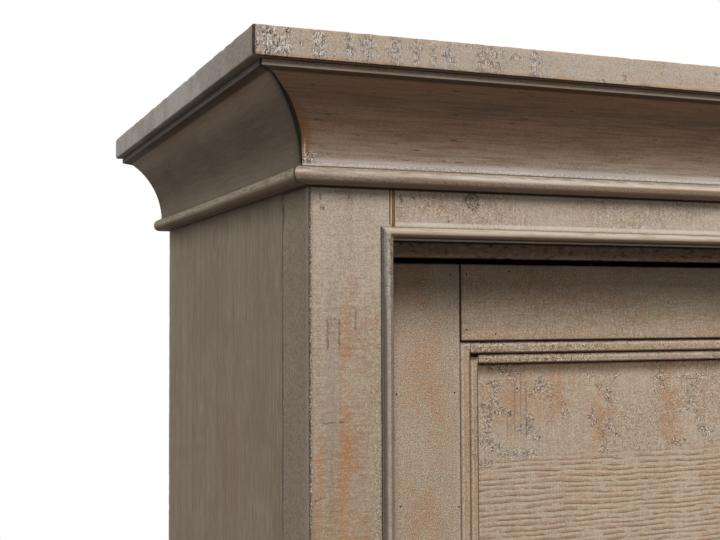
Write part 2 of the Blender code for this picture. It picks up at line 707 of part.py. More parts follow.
def build():
    top_slab()
    cornice()
    notches = posts()
    panels = side_panels()
    back_panel(panels)
    rails()
    carcass_board("cupboard_floor", CUPBOARD_FLOOR, BOARD_THICK, panels, notches)
    carcass_board("drawer_divider", UPPER_DRAWER_FLOOR, BOARD_THICK, panels, notches)
    carcass_board("bottom_board", LOWER_DRAWER_FLOOR, BOARD_THICK, panels, notches)
    shelf_top = (CUPBOARD_FLOOR + INNER_RAIL_UNDER + SHELF_THICK) / 2
    carcass_board("shelf", shelf_top, SHELF_THICK, panels, notches)
    opening_bead("door_opening_bead", DOOR_OPENING_FLOOR, DOOR_OPENING_TOP)
    opening_bead("upper_drawer_bead", UPPER_DRAWER_FLOOR, UPPER_DRAWER_CEILING)
    opening_bead("lower_drawer_bead", LOWER_DRAWER_FLOOR, LOWER_DRAWER_CEILING)
    base()
    panelled_door(-1, "left_door")
    panelled_door(1, "right_door")
    drawer("upper_drawer", UPPER_DRAWER_FLOOR, UPPER_DRAWER_CEILING)
    drawer("lower_drawer", LOWER_DRAWER_FLOOR, LOWER_DRAWER_CEILING)


build()
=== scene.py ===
"""Door chest: its worn and glazed pine, iron fittings and plain studio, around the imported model.

Metres, +Z up. The doors face -Y. Each group of pieces has its own operator, listed in the sidebar.
"""

import json
from math import cos, pi, radians, sin

import bmesh
import bpy
from bpy.props import FloatProperty, FloatVectorProperty, PointerProperty
from mathutils import Matrix, Vector, noise


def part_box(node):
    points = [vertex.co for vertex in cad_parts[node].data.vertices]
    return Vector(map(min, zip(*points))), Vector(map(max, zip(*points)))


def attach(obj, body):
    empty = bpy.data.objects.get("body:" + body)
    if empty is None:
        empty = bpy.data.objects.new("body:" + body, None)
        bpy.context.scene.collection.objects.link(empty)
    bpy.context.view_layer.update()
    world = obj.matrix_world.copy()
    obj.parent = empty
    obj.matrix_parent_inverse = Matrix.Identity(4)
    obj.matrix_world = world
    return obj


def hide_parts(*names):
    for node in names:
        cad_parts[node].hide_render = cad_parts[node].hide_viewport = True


bl_info = {
    "name": "Door chest finish",
    "version": (1, 0, 0),
    "blender": (4, 5, 0),
    "location": "View3D > Sidebar > Door chest",
    "description": "Dresses a door chest in worn, glazed pine and aged iron",
    "category": "Object",
}

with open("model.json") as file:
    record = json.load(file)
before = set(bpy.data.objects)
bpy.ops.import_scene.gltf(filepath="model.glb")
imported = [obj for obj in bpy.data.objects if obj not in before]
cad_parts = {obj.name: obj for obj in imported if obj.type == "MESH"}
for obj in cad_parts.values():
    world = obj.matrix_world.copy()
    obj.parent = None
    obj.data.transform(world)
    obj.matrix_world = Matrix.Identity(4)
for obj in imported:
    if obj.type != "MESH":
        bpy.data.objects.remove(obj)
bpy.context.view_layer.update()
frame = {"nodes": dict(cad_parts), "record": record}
BODY_OF = {
    node: body for body, nodes in frame["record"]["behaviour"]["bodies"].items() for node in nodes
}

# Axes
ACROSS, DEEP, UP = 0, 1, 2
AXES = (ACROSS, DEEP, UP)

# Mesh work
WELD = 0.00001
FLAT = radians(0.4)
SMOOTH = radians(40)
CREASE = radians(18)
ARRIS_STEPS = 2
PIT = 1  # the material slot of a worm hole's wall
ALIGNED = 0.95  # an edge runs along an axis if this share of it does
LONG_EDGE = 1.5  # and is cut if it is longer than this many steps

# Wear: how fine the patterns of knocks, hollows and hammer marks are, and how far they reach
KNOCKS = (60, 230)
KNOCK_SPARED = 0.05
EDGE_REACH = 2.2
HOLLOWS = 150
HOLLOW_STRETCH = 0.22
HAMMER_MARKS = 260
HOLE_RIM, HOLE_TAPER = 0.34, 0.06

# Finish: the bump's depth, a drawn line's solid middle, how a pattern shifts from piece to piece,
# what dull and cloudy glaze keep of red, green and blue, and what thick glaze and painted shade
# keep
BUMP_DEPTH = 0.0006
LINE_CORE = 0.35
SHIFTS = ((17, 0.173), (23, 0.211), (29, 0.137))
DULL, CLOUDY, BROWNED = (0.56, 0.50, 0.42), (0.94, 0.86, 0.75), (1.16, 0.96, 0.76)

# Places on the case, read from the frame
SLAB_LOW, SLAB_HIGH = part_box("top_slab")
POST_LOW, POST_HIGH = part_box("left_post")
CORNICE_LOW, CORNICE_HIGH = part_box("cornice_front")
BEAD_LOW, BEAD_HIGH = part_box("door_opening_bead")
SIDE = -POST_LOW.x
FRONT = POST_LOW.y
UNDER_SLAB = SLAB_LOW.z
DOOR_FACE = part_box("left_door_hinge_stile")[0].y
PANEL_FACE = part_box("left_door_panel")[0].y

OPENING = -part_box("top_rail")[0].x
BEAD_WIDTH = 0.0084
BEAD_LOW_EDGE = BEAD_HIGH.z - BEAD_WIDTH

# Door moulding
OUTER_BAND = 0.0091
INNER_BAND = 0.0078
MOULDING_WIDTH = OUTER_BAND + INNER_BAND
MOULDING_STEP = 0.0027
INNER_BAND_STOP = 0.0028
SEAM = 0.0002

# Saw cuts in the slab's front: where each group is, and half its width
SAW_CUTS = (
    (-0.5450, 0.0160), (-0.5150, 0.0070), (-0.4940, 0.0040), (-0.4820, 0.0065), (-0.4610, 0.0060),
    (-0.4465, 0.0035), (-0.4344, 0.0030), (-0.4200, 0.0040), (-0.3925, 0.0140), (-0.3565, 0.0060),
)

# Rubbed streaks down a post: how far out, half width and strength
POST_STREAKS = (
    (0.4955, 0.0024, 0.75), (0.4765, 0.0062, 1.00), (0.4690, 0.0036, 0.40), (0.4624, 0.0036, 0.30)
)

# Scratches on the left post's face: start, end and width, across and up
POST_SCRATCHES = (
    ((-0.4890, 1.2380), (-0.4892, 1.2130), 0.0012), ((-0.4805, 1.2380), (-0.4808, 1.2130), 0.0012),
    ((-0.4880, 1.2360), (-0.4820, 1.2358), 0.0010), ((-0.4682, 1.2430), (-0.4690, 1.2270), 0.0012),
    ((-0.4940, 1.1640), (-0.4760, 1.1652), 0.0009), ((-0.4960, 1.0840), (-0.4740, 1.0830), 0.0009),
    ((-0.4945, 1.3235), (-0.4940, 1.3180), 0.0012), ((-0.4950, 1.3130), (-0.4905, 1.3122), 0.0022),
    ((-0.4730, 1.3236), (-0.4732, 1.3190), 0.0008), ((-0.5001, 1.1116), (-0.4899, 1.1144), 0.0010),
    ((-0.4900, 0.9020), (-0.4895, 0.8890), 0.0009), ((-0.4680, 0.4130), (-0.4580, 0.4160), 0.0010),
)

# Marks on the top rail, across and up
RAIL_SCRATCHES = (
    ((-0.4345, 1.3240), (-0.4320, 1.3175), 0.0018), ((-0.4262, 1.3228), (-0.4220, 1.3208), 0.0012),
    ((-0.3970, 1.3066), (-0.3955, 1.3050), 0.0012), ((0.1240, 1.3190), (0.1300, 1.3130), 0.0014),
)
KNOT = (-0.3776, 1.3205)

# Panel of the left door: groups of cuts (across, up, half width, half height) and upright cracks
PANEL_CUTS = (
    (-0.3526, 1.1686, 0.0075, 0.0060), (-0.3510, 1.1560, 0.0050, 0.0130),
    (-0.3530, 1.1440, 0.0090, 0.0065), (-0.3470, 1.1385, 0.0100, 0.0040),
    (-0.3535, 1.1270, 0.0085, 0.0050), (-0.3240, 1.1330, 0.0220, 0.0045),
    (-0.3230, 1.1520, 0.0060, 0.0040), (-0.3440, 1.1860, 0.0090, 0.0050),
)
PANEL_RUB = (-0.325, 1.172, 0.030, 0.020)  # a rubbed patch: across, up, half width, half height
PANEL_CRACKS = (
    ((-0.3277, 1.1960), (-0.3284, 1.1480), 0.0009), ((-0.3226, 1.1990), (-0.3230, 1.1420), 0.0008),
    ((-0.3180, 1.1900), (-0.3184, 1.1400), 0.0009), ((-0.3340, 1.1640), (-0.3342, 1.1430), 0.0007),
)
RIPPLES = 1480  # radians per metre: one ripple every 4.2 mm
DOOR_SEAM = 0.0015

# Back
BACK_BOARDS = 7
BACK_GROOVE = 0.0016

# Distances between the cuts that let a piece's edges and faces wear: across, deep and up,
# or along the grain
SLAB_STEPS = (0.0027, 0.0062, 0.0026)
POST_STEPS = (0.0031,) * 3
SIDE_STEPS = (0.0060, 0.0090, 0.0050)
RAIL_STEPS = (0.0030, 0.0030 * 1.4, 0.0030)
DOOR_STEPS = (0.0030,) * 3
DRAWER_STEP = 0.0060
BARE_STEP = 0.012

# Colours of single layers. Slab:
SLAB_TAN = (0.48, 0.30, 0.17)
SLAB_ORANGE = (0.52, 0.29, 0.13)
SLAB_SEAM = (0.060, 0.038, 0.022)
SLAB_CORNER = (0.030, 0.032, 0.034)
END_NEAR = (0.47, 0.395, 0.325)
END_FAR = (0.70, 0.645, 0.60)
END_STAIN = (0.40, 0.320, 0.240)
END_DARK = (0.31, 0.250, 0.195)
END_PALE = (0.80, 0.77, 0.74)
SMEAR_TAN = (0.53, 0.35, 0.23)
SMEAR_GREY = (0.42, 0.385, 0.36)
CUT_DARK = (0.09, 0.072, 0.065)
CUT_UPRIGHT = (0.11, 0.085, 0.076)
CUT_LEVEL = (0.14, 0.108, 0.095)
CUT_PALE = (0.74, 0.71, 0.68)

# Cornice:
BEAD_UNDERSIDE_SHADE = (0.185, 0.118, 0.082)
FILLET_GRIME = (0.07, 0.045, 0.030)
BEAD_STREAK = (0.20, 0.145, 0.095)
BEAD_GRIME = (0.06, 0.042, 0.028)
MITRE_HALO = (0.17, 0.080, 0.032)
MITRE_SHADE = (0.065, 0.046, 0.032)
MITRE_EDGE = (0.022, 0.018, 0.016)
MITRE_BLACK = (0.012, 0.009, 0.007)

# The cornice's look at the front and at the sides. Heights go down from the slab in the cove,
# and from the bead's top on the bead
CORNICE_BEAD = 0.0127
CORNICE_FRONT = {
    "gloss": 0.14,
    "glaze": dict(flecks=0.20, bands=0.10, ticks=0.0, sawn=0.1, mottle=0.16, cloudy=0.2),
    "streaks": (1.26, 0.74), "head": 0.0185, "painted_light_share": 2.5,
    "fillet": (0.40, 0.285, 0.205), "fillet_rub_and_highlight": (0.48, 0.39, 0.30),
    "bead_top": 0.0013, "bead_line": 0.85, "bead_end": 0.0072, "bead_share": 0.60,
    "bead": (0.42, 0.330, 0.232), "bead_low": 0.0070, "bead_foot": (0.21, 0.160, 0.112),
}
CORNICE_SIDE = {
    "gloss": 0.04,
    "glaze": dict(
        flecks=0.03, bands=0.0, ticks=0.0, sawn=0.05, mottle=0.14, cloudy=0.0, fibres=0.15
    ),
    "streaks": (1.10, 0.90), "head": 0.0220, "painted_light_share": 3.0,
    "fillet": (0.150, 0.125, 0.104), "fillet_rub_and_highlight": (0.195, 0.196, 0.205),
    "bead_top": 0.0026, "bead_line": 0.5, "bead_end": 0.0094, "bead_share": 0.85,
    "bead": (0.60, 0.500, 0.360), "bead_low": 0.0090, "bead_foot": (0.22, 0.170, 0.120),
}

# Posts, side panels, rails and opening beads:
POST_GREY = (0.32, 0.250, 0.180)
POST_BROWN = (0.30, 0.200, 0.115)
POST_TICK = (0.19, 0.120, 0.066)
POST_EDGE = (0.50, 0.44, 0.37)
POST_CORNER = (0.24, 0.185, 0.130)
POST_BLUISH = (0.33, 0.305, 0.275)
POST_DOT = (0.15, 0.105, 0.066)
SIDE_BAND = (0.27, 0.190, 0.110)
INNER_RAIL_SHADE = (0.150, 0.096, 0.060)
INNER_RAIL_PALE = (0.30, 0.215, 0.150)
SHADOW_UNDER_BEAD = (0.014, 0.016, 0.016)
KNOT_HEART = (0.30, 0.235, 0.175)
UPRIGHT_BEAD = (0.42, 0.375, 0.315)
UPRIGHT_BEAD_LIT = (0.76, 0.70, 0.62)
LEVEL_BEAD_TAN = (0.48, 0.365, 0.250)
LEVEL_BEAD_DIRT = (0.27, 0.18, 0.105)

# Doors and iron:
STILE_DOT = (0.20, 0.150, 0.098)
PANEL_GLAZE = (0.460, 0.358, 0.260)
PANEL_FLECK = (0.13, 0.110, 0.100)
PANEL_CRACK = (0.17, 0.16, 0.155)
RIPPLE_PALE = (0.54, 0.445, 0.335)
RIPPLE_CREST = (0.38, 0.200, 0.092)
RIPPLE_HOLLOW = (0.135, 0.083, 0.045)
SEAM_AND_SHADOW_BROWN = (0.085, 0.040, 0.016)
PALE_CHALK_AND_HIGHLIGHT = (0.70, 0.66, 0.61)
RUST = (0.16, 0.075, 0.035)
IRON_SPECK = (0.02, 0.016, 0.013)

# Knob: radius and distance from the wood, from the middle of its back to the middle of its front
KNOB_PROFILE = (
    (0, 0), (0.0112, 0), (0.0115, 0.0005), (0.0115, 0.0020), (0.0111, 0.0027), (0.0102, 0.0031),
    (0.0096, 0.0028), (0.0090, 0.0031), (0.0078, 0.0040), (0.0068, 0.0050), (0.0063, 0.0064),
    (0.0062, 0.0084), (0.0063, 0.0100), (0.0066, 0.0112), (0.0073, 0.0118), (0.0077, 0.0125),
    (0.0073, 0.0132), (0.0067, 0.0137), (0.0071, 0.0145), (0.0085, 0.0155), (0.0106, 0.0164),
    (0.0130, 0.0174), (0.0149, 0.0186), (0.0161, 0.0199), (0.0165, 0.0213), (0.0164, 0.0226),
    (0.0158, 0.0238), (0.0147, 0.0247), (0.0134, 0.0253), (0.0125, 0.0254), (0.0119, 0.0250),
    (0.0113, 0.0253), (0.0098, 0.0259), (0.0073, 0.0265), (0.0040, 0.0269), (0, 0.0270),
)
KNOB_STEPS = 44
HAMMERED = 0.0005

# Hinges: the leaf's thickness, its clearance, and its screws' places behind the door's face
# and from the leaf's middle
HINGE_LEAF = 0.0010
HINGE_CLEARANCE = 0.0003
SCREWS = ((0.0110, -0.0240), (0.0085, 0), (0.0110, 0.0240))
SCREW_RADIUS = 0.0024
SCREW_RISE = 0.0001
SCREW_SLOT = 0.0006
SCREW_TAPER = 0.94
SCREW_SIDES = 20
SCREW_TURN = radians(40)

# Floor, and how far out it fades to white; how far from the horizon the world's light changes
FLOOR_RADIUS = 7
FLOOR_SIDES = 96
FLOOR_FADE = (1.2, 2.6)
FLOOR_BOUNCE = (0.22, 0.22, 0.22, 1)
HORIZON = 0.3
WHITE = (1, 1, 1, 1)

# Lamps: size, turn from the front, rise and distance from the place they are aimed at
KEY_LAMP = (1.6, radians(30), radians(36), 3.4)
SIDE_LAMP = (1.8, radians(-78), radians(14), 3.2)
LAMP_AIM = (0, FRONT, 0.95)

# Camera
SENSOR, LENS, CLIP_START = 36, 57.75, 0.02
CAMERA_PLACE = (-0.7598, -0.9462, 1.2367)
CAMERA_YAW, CAMERA_PITCH, CAMERA_ROLL = radians(21.49), radians(2.37), radians(-0.22)

# Worm holes in the faces of the doors, by piece: across and up
HOLES = {
    "left_door_hinge_stile": (
        (-0.3862, 1.2680), (-0.4304, 1.1810), (-0.3815, 1.1811), (-0.4254, 1.1005),
        (-0.3798, 1.0984), (-0.4010, 0.8420), (-0.4180, 0.7030),
    ),
    "left_door_top_rail": (
        (-0.3717, 1.2697), (-0.3364, 1.2715), (-0.3721, 1.2266), (-0.3479, 1.2249),
        (-0.1930, 1.2480),
    ),
    "left_door_panel": (
        (-0.3264, 1.1821), (-0.2410, 1.0440), (-0.1870, 0.8650), (-0.2980, 0.7610),
    ),
    "right_door_hinge_stile": ((0.4020, 1.0310), (0.3890, 0.7520)),
    "right_door_meeting_stile": ((0.0240, 1.1430), (0.0450, 0.8110)),
    "right_door_panel": ((0.1620, 1.0920), (0.3010, 0.9060)),
    "right_door_top_rail": ((0.2250, 1.2370),),
}


class WearSettings(bpy.types.PropertyGroup):
    """How far the chest's edges and faces are worn."""

    arris: FloatProperty(
        name="Arris", description="Width of the rounding along a sawn edge", default=0.0012,
        unit="LENGTH"
    )
    chip: FloatProperty(
        name="Chip", description="Depth of the knocks along an edge", default=0.0007, unit="LENGTH"
    )
    relief: FloatProperty(
        name="Relief", description="Depth of the hollows left in a face", default=0.00022,
        unit="LENGTH"
    )
    spacing: FloatProperty(
        name="Spacing", description="Distance between the points that wear moves", default=0.0026,
        unit="LENGTH"
    )
    hole: FloatProperty(
        name="Worm hole", description="Depth of a worm hole", default=0.0022, unit="LENGTH"
    )


class FinishSettings(bpy.types.PropertyGroup):
    """The chest's colours."""

    glaze: FloatVectorProperty(
        name="Glaze", description="Pale grey-beige glaze on the face of the case",
        default=(0.435, 0.362, 0.287), subtype="COLOR", min=0, max=1,
    )
    side_glaze: FloatVectorProperty(
        name="Side glaze", description="Browner glaze on the sides of the case",
        default=(0.385, 0.300, 0.215), subtype="COLOR", min=0, max=1,
    )
    door_glaze: FloatVectorProperty(
        name="Door glaze", description="Warmer glaze on the doors and drawers",
        default=(0.385, 0.285, 0.190), subtype="COLOR", min=0, max=1,
    )
    groove: FloatVectorProperty(
        name="Groove", description="Tan wood in the grooves between posts and rails",
        default=(0.56, 0.38, 0.20), subtype="COLOR", min=0, max=1,
    )
    cove_glaze: FloatVectorProperty(
        name="Cove glaze", description="Dark glaze left in the hollow of the cornice",
        default=(0.160, 0.094, 0.057), subtype="COLOR", min=0, max=1,
    )
    side_cove: FloatVectorProperty(
        name="Side cove glaze", description="Dark glaze left in the hollow of the side cornices",
        default=(0.158, 0.116, 0.084), subtype="COLOR", min=0, max=1,
    )
    # Umber: dark glaze in pits and joints, also used for painted shade in creases and under
    # overhangs
    umber_and_shade: FloatVectorProperty(
        name="Umber", description="Dark glaze caught in pits, joints and corners",
        default=(0.062, 0.036, 0.019), subtype="COLOR", min=0, max=1,
    )
    # Pale paint on the high spots, also used for painted highlights on the beads and the top rail
    chalk_and_highlight: FloatVectorProperty(
        name="Chalk", description="Pale paint rubbed on the high spots",
        default=(0.70, 0.62, 0.52), subtype="COLOR", min=0, max=1,
    )
    rubbed_pine: FloatVectorProperty(
        name="Rubbed pine", description="Orange wood where the glaze is rubbed away",
        default=(0.43, 0.190, 0.066), subtype="COLOR", min=0, max=1,
    )
    bare_pine: FloatVectorProperty(
        name="Bare pine", description="Unpainted boards inside the case",
        default=(0.52, 0.37, 0.215), subtype="COLOR", min=0, max=1,
    )
    iron: FloatVectorProperty(
        name="Iron", description="Knobs and hinges", default=(0.075, 0.062, 0.052), subtype="COLOR",
        min=0, max=1,
    )


class StageSettings(bpy.types.PropertyGroup):
    """The studio round the chest."""

    key: FloatProperty(
        name="Key light", description="Power of the large lamp at the front right", default=100,
        unit="POWER"
    )
    side: FloatProperty(
        name="Side light", description="Power of the weak lamp at the left", default=9, unit="POWER"
    )
    fill: FloatProperty(
        name="Fill", description="Strength of the light from above all round", default=0.42
    )
    under: FloatProperty(
        name="Under", description="Strength of the light from below the horizon", default=0.14
    )
    floor: FloatVectorProperty(
        name="Floor", description="Colour of the floor", default=(0.82, 0.82, 0.81),
        subtype="COLOR", min=0, max=1
    )


class Wire:
    """A shader socket that can be used in arithmetic: each operation adds its Math node."""

    def __init__(self, tree, socket):
        self.tree = tree
        self.socket = socket

    def __add__(self, other):
        return self.tree.math("ADD", self, other)

    __radd__ = __add__

    def __sub__(self, other):
        return self.tree.math("SUBTRACT", self, other)

    def __rsub__(self, other):
        return self.tree.math("SUBTRACT", other, self)

    def __mul__(self, other):
        return self.tree.math("MULTIPLY", self, other)

    __rmul__ = __mul__

    def __abs__(self):
        return self.tree.math("ABSOLUTE", self, 0)


class Tree:
    """A node tree that is built up by expressions."""

    def __init__(self, owner):
        owner.use_nodes = True
        self.nodes = owner.node_tree.nodes
        self.links = owner.node_tree.links

    def node(self, kind, inputs=None, output=0, **settings):
        """Add a node: its settings first, then the values or wires of its sockets."""
        made = self.nodes.new("ShaderNode" + kind)
        for name, value in settings.items():
            setattr(made, name, value)
        self.join(made, inputs or {})
        return Wire(self, made.outputs[output])

    def join(self, node, inputs):
        """Give a node's sockets their values or wires."""
        for key, value in inputs.items():
            if isinstance(value, Wire):
                self.links.new(value.socket, node.inputs[key])
            else:
                node.inputs[key].default_value = value

    def math(self, operation, first, second):
        return self.node("Math", {0: first, 1: second}, operation=operation)

    def least(self, first, second):
        return self.math("MINIMUM", first, second)

    def most(self, first, second):
        return self.math("MAXIMUM", first, second)

    def split(self, place):
        """The three numbers of a place."""
        return [self.node("SeparateXYZ", {0: place}, output=axis) for axis in AXES]

    def scaled(self, place, scale, shift=(0, 0, 0)):
        return self.node("Mapping", {"Vector": place, "Location": shift, "Scale": scale})

    def noise(self, place, scale, detail=3, roughness=0.55, distortion=0):
        values = {
            "Vector": place, "Scale": scale, "Detail": detail, "Roughness": roughness,
            "Distortion": distortion
        }
        return self.node("TexNoise", values)

    def ramp(self, value, low, high):
        """0 up to low, 1 from high, smooth between."""
        values = {"Value": value, "From Min": low, "From Max": high}
        return self.node("MapRange", values, interpolation_type="SMOOTHSTEP")

    def fade(self, value, low, high):
        """1 up to low, 0 from high, smooth between."""
        return 1 - self.ramp(value, low, high)

    def between(self, value, low, high, soft):
        """1 from low to high, fading over a soft edge inside each."""
        return self.ramp(value, low, low + soft) * self.fade(value, high - soft, high)

    def line(self, value, width):
        """1 where a value is near zero, fading over a width."""
        return self.fade(abs(value), width * LINE_CORE, width)

    def length(self, *parts):
        """How long a vector is, from its parts."""
        squares = [part * part for part in parts]
        return self.math("SQRT", sum(squares[1:], squares[0]), 0)

    def tint(self, factor, under, over, blend="MIX"):
        """Lay one colour over another."""
        values = {0: factor, 6: rgba(under), 7: rgba(over)}
        return self.node("Mix", values, output=2, data_type="RGBA", blend_type=blend)


class Finish(Tree):
    """A material whose colour, height and roughness are built up by expressions."""

    def __init__(self, name, roughness, metallic=0.0, gloss=0.5):
        self.material = bpy.data.materials.new(name)
        super().__init__(self.material)
        self.shader = self.nodes["Principled BSDF"]
        self.join(self.shader, {"Metallic": metallic, "Specular IOR Level": gloss})
        self.place = self.node("TexCoord", output="Object")
        self.colour = None
        self.height = None
        self.roughness = roughness

    def drawn(self, stretch, scale, detail=3, roughness=0.6):
        """A noise that is drawn out along each axis whose share of the stretch is small."""
        return self.noise(self.scaled(self.place, stretch), scale, detail, roughness)

    def lay(self, mask, colour):
        """Lay a colour over what is there, as far as a mask allows."""
        self.colour = self.tint(mask, self.colour, colour)

    def tones(self, pattern, high, high_colour, low, low_colour):
        """A colour where a pattern is high and one where it is low, by a share and two limits."""
        share, start, end = high
        self.lay(share * self.ramp(pattern, start, end), high_colour)
        share, start, end = low
        self.lay(share * self.fade(pattern, start, end), low_colour)

    def close(self):
        """Join the colour, roughness and height to the shader."""
        inputs = {"Base Color": rgba(self.colour), "Roughness": self.roughness}
        if self.height is not None:
            values = {"Height": self.height, "Distance": BUMP_DEPTH, "Strength": 1.0}
            inputs["Normal"] = self.node("Bump", values)
        self.join(self.shader, inputs)
        return self.material


def rgba(colour):
    return colour if isinstance(colour, Wire) else (*colour, 1)


def shade(colour, share):
    """A colour made lighter or darker."""
    return tuple(min(1, part * share) for part in colour)


def tinted(colour, shares):
    """A colour that keeps its own share of each of its parts."""
    return tuple(part * share for part, share in zip(colour, shares))


def along_only(axis, share, others=1):
    """A scale that draws a pattern out along one axis."""
    return tuple(share if index == axis else others for index in AXES)


def shift_of(name):
    """A shift of a pattern's place that differs from piece to piece."""
    total = sum((index + 1) * ord(letter) for index, letter in enumerate(name))
    return tuple(total % count * step for count, step in SHIFTS)


def edge_distance(wood, low, high):
    """How far a point on a board's face is from the board's nearest edge."""
    first, second, third = (
        wood.least(abs(value - near), abs(value - far))
        for value, near, far in zip((wood.x, wood.y, wood.z), low, high)
    )
    return wood.most(wood.least(first, second), wood.least(wood.most(first, second), third))


class Pine(Finish):
    """Glazed pine with its grain along one axis: patterns first, then the layers that use them."""

    def __init__(self, name, grain, glaze, gloss=0.14):
        super().__init__(name, 0.7, gloss=gloss)
        self.colours = bpy.context.scene.chest_finish
        self.glaze_colour = glaze
        self.x, self.y, self.z = self.split(self.place)
        place = self.scaled(self.place, (1, 1, 1), shift_of(name))
        self.fibre = self.noise(self.scaled(place, along_only(grain, 0.055)), 800, 3, 0.6)
        self.figure = self.noise(self.scaled(place, along_only(grain, 0.045)), 62, 3, 0.5, 0.7)
        self.band = self.noise(self.scaled(place, along_only(grain, 0.025)), 110, 3, 0.5)
        self.saw = self.noise(self.scaled(place, along_only(grain, 1, 0.11)), 900, 3, 0.6)
        self.fine = self.noise(place, 1050, 1, 0.6)
        self.speck = self.noise(place, 1500, 0)
        self.scrawl = self.noise(place, 560, 1, 0.5, 0.7)
        self.grit = self.noise(place, 760, 2, 0.6)
        self.cloud = self.noise(place, 10, 3, 0.5)
        self.broad = self.noise(self.scaled(place, along_only(grain, 0.45)), 30, 3, 0.55)

    def glaze(self, flecks=0.5, bands=0.3, ticks=0.3, sawn=0.5, mottle=0.3, cloudy=0.4, fibres=0.3):
        """The glaze and its fibres, rubbed orange wood, chalky rims and dark pits."""
        glaze, colours = self.glaze_colour, self.colours
        rough = self.ramp(self.broad * 0.75 + self.cloud * 0.25, 0.45, 0.58)
        dull = tinted(glaze, DULL)
        self.colour = self.tint(
            self.ramp(self.figure, 0.34, 0.66), shade(glaze, 0.92), shade(glaze, 1.04)
        )
        self.lay(cloudy * self.ramp(self.cloud, 0.42, 0.66), tinted(glaze, CLOUDY))
        self.lay(
            bands * self.ramp(self.band * 0.85 + self.fine * 0.15, 0.51, 0.62), colours.rubbed_pine
        )
        self.tones(
            self.fibre, (fibres, 0.52, 0.66), dull, (fibres * 0.7, 0.34, 0.47), colours.chalk_and_highlight
        )
        self.tones(self.fine, (mottle, 0.5, 0.64), dull, (mottle, 0.36, 0.5), colours.chalk_and_highlight)
        self.height = self.fibre * 0.14 + sawn * self.saw * 0.4 + self.fine * mottle * 0.3
        self.ticked(ticks, self.broad)
        self.scrawled(self.least(1, flecks * (0.3 + 1.1 * rough)), 0.8)
        self.roughness = 0.68 + 0.08 * rough - 0.05 * self.ramp(self.figure, 0.4, 0.7)

    def ticked(self, mask, where):
        """Rubbed marks across the grain: orange, with brown hearts, and pale ones between them."""
        dust = self.saw * 0.52 + self.fine * 0.12 + where * 0.36
        self.lay(mask * 0.8 * self.ramp(dust, 0.49, 0.59), self.colours.rubbed_pine)
        self.lay(mask * 0.4 * self.ramp(dust, 0.565, 0.61), shade(self.colours.rubbed_pine, 0.45))
        self.lay(mask * 0.45 * self.fade(self.saw, 0.36, 0.46), self.colours.chalk_and_highlight)

    def scrawled(self, mask, pale=1.0):
        """Small wandering cuts: dark in their bottoms, chalky along their rims."""
        self.lay(
            mask * pale * self.line(self.scrawl - 0.545, 0.05), shade(self.colours.chalk_and_highlight, 1.12)
        )
        self.lay(mask * self.line(self.scrawl - 0.45, 0.042), shade(self.colours.umber_and_shade, 1.7))
        self.height = self.height - mask * self.line(self.scrawl - 0.45, 0.055) * 0.55

    def wear(self, low, high, worn=0.6, reach=0.0026, seam=0.5, seam_width=0.0011):
        """Chalk, pine and dark flecks along a board's edges, and glaze in the seam beyond them."""
        edge = edge_distance(self, low, high)
        ragged = edge + 0.0022 * (self.fine + self.grit - 1)
        near = self.fade(ragged, reach * 0.3, reach)
        self.lay(worn * 0.6 * near * self.ramp(self.saw, 0.5, 0.6), self.colours.rubbed_pine)
        self.tones(
            self.speck, (worn * near, 0.52, 0.6), self.colours.chalk_and_highlight,
            (worn * near, 0.36, 0.44), self.colours.umber_and_shade,
        )
        self.lay(
            seam * self.fade(edge, seam_width * LINE_CORE, seam_width),
            shade(self.colours.umber_and_shade, 0.7),
        )

    def darken(self, mask, share=0.3):
        """The same colours, browner and darker: thick old glaze in some places, painted shade in
        others.
        """
        deep = self.tint(1.0, self.colour, tuple(share * part for part in BROWNED), "MULTIPLY")
        self.colour = self.tint(mask, self.colour, deep)

    def mark(self, value, width, mask, strength, colour):
        """One drawn line, where a value is near zero and a mask allows it."""
        self.lay(strength * mask * self.line(value, width), colour)

    def scratch(self, start, end, width, colour, strength):
        """One straight scratch on an upright face, from start to end, ragged along its sides."""
        run = Vector(end) - Vector(start)
        reach = run.length
        run.normalize()
        across, up = self.x - start[0], self.z - start[1]
        along = across * run.x + up * run.y
        aside = across * run.y - up * run.x
        within = self.between(along, 0, reach, reach * 0.15) * self.ramp(self.speck, 0.34, 0.5)
        self.mark(aside + 0.002 * (self.grit - 0.5), width, within, strength, colour)


def bare_wood(name, grain):
    """Unpainted pine: warm, with dark growth lines and a few darker streaks."""
    colours = bpy.context.scene.chest_finish
    wood = Finish(name, 0.7)
    place = wood.scaled(wood.place, (1, 1, 1), shift_of(name))
    along = wood.scaled(place, along_only(grain, 0.04))
    fibre = wood.noise(along, 300, 4, 0.6)
    figure = wood.noise(along, 38, 3, 0.55, 1.1)
    cloud = wood.noise(place, 6, 2)
    rings = wood.math("SINE", figure * 70, 0)
    wood.colour = wood.tint(
        wood.ramp(rings, -0.2, 1.0), colours.bare_pine, shade(colours.bare_pine, 0.72)
    )
    wood.lay(0.5 * wood.ramp(fibre, 0.5, 0.7), shade(colours.bare_pine, 0.6))
    wood.lay(0.6 * wood.ramp(cloud, 0.45, 0.7), shade(colours.bare_pine, 0.82))
    wood.height = fibre * 0.6 + rings * 0.12
    wood.roughness = 0.64 + 0.16 * wood.ramp(fibre, 0.4, 0.7)
    return wood


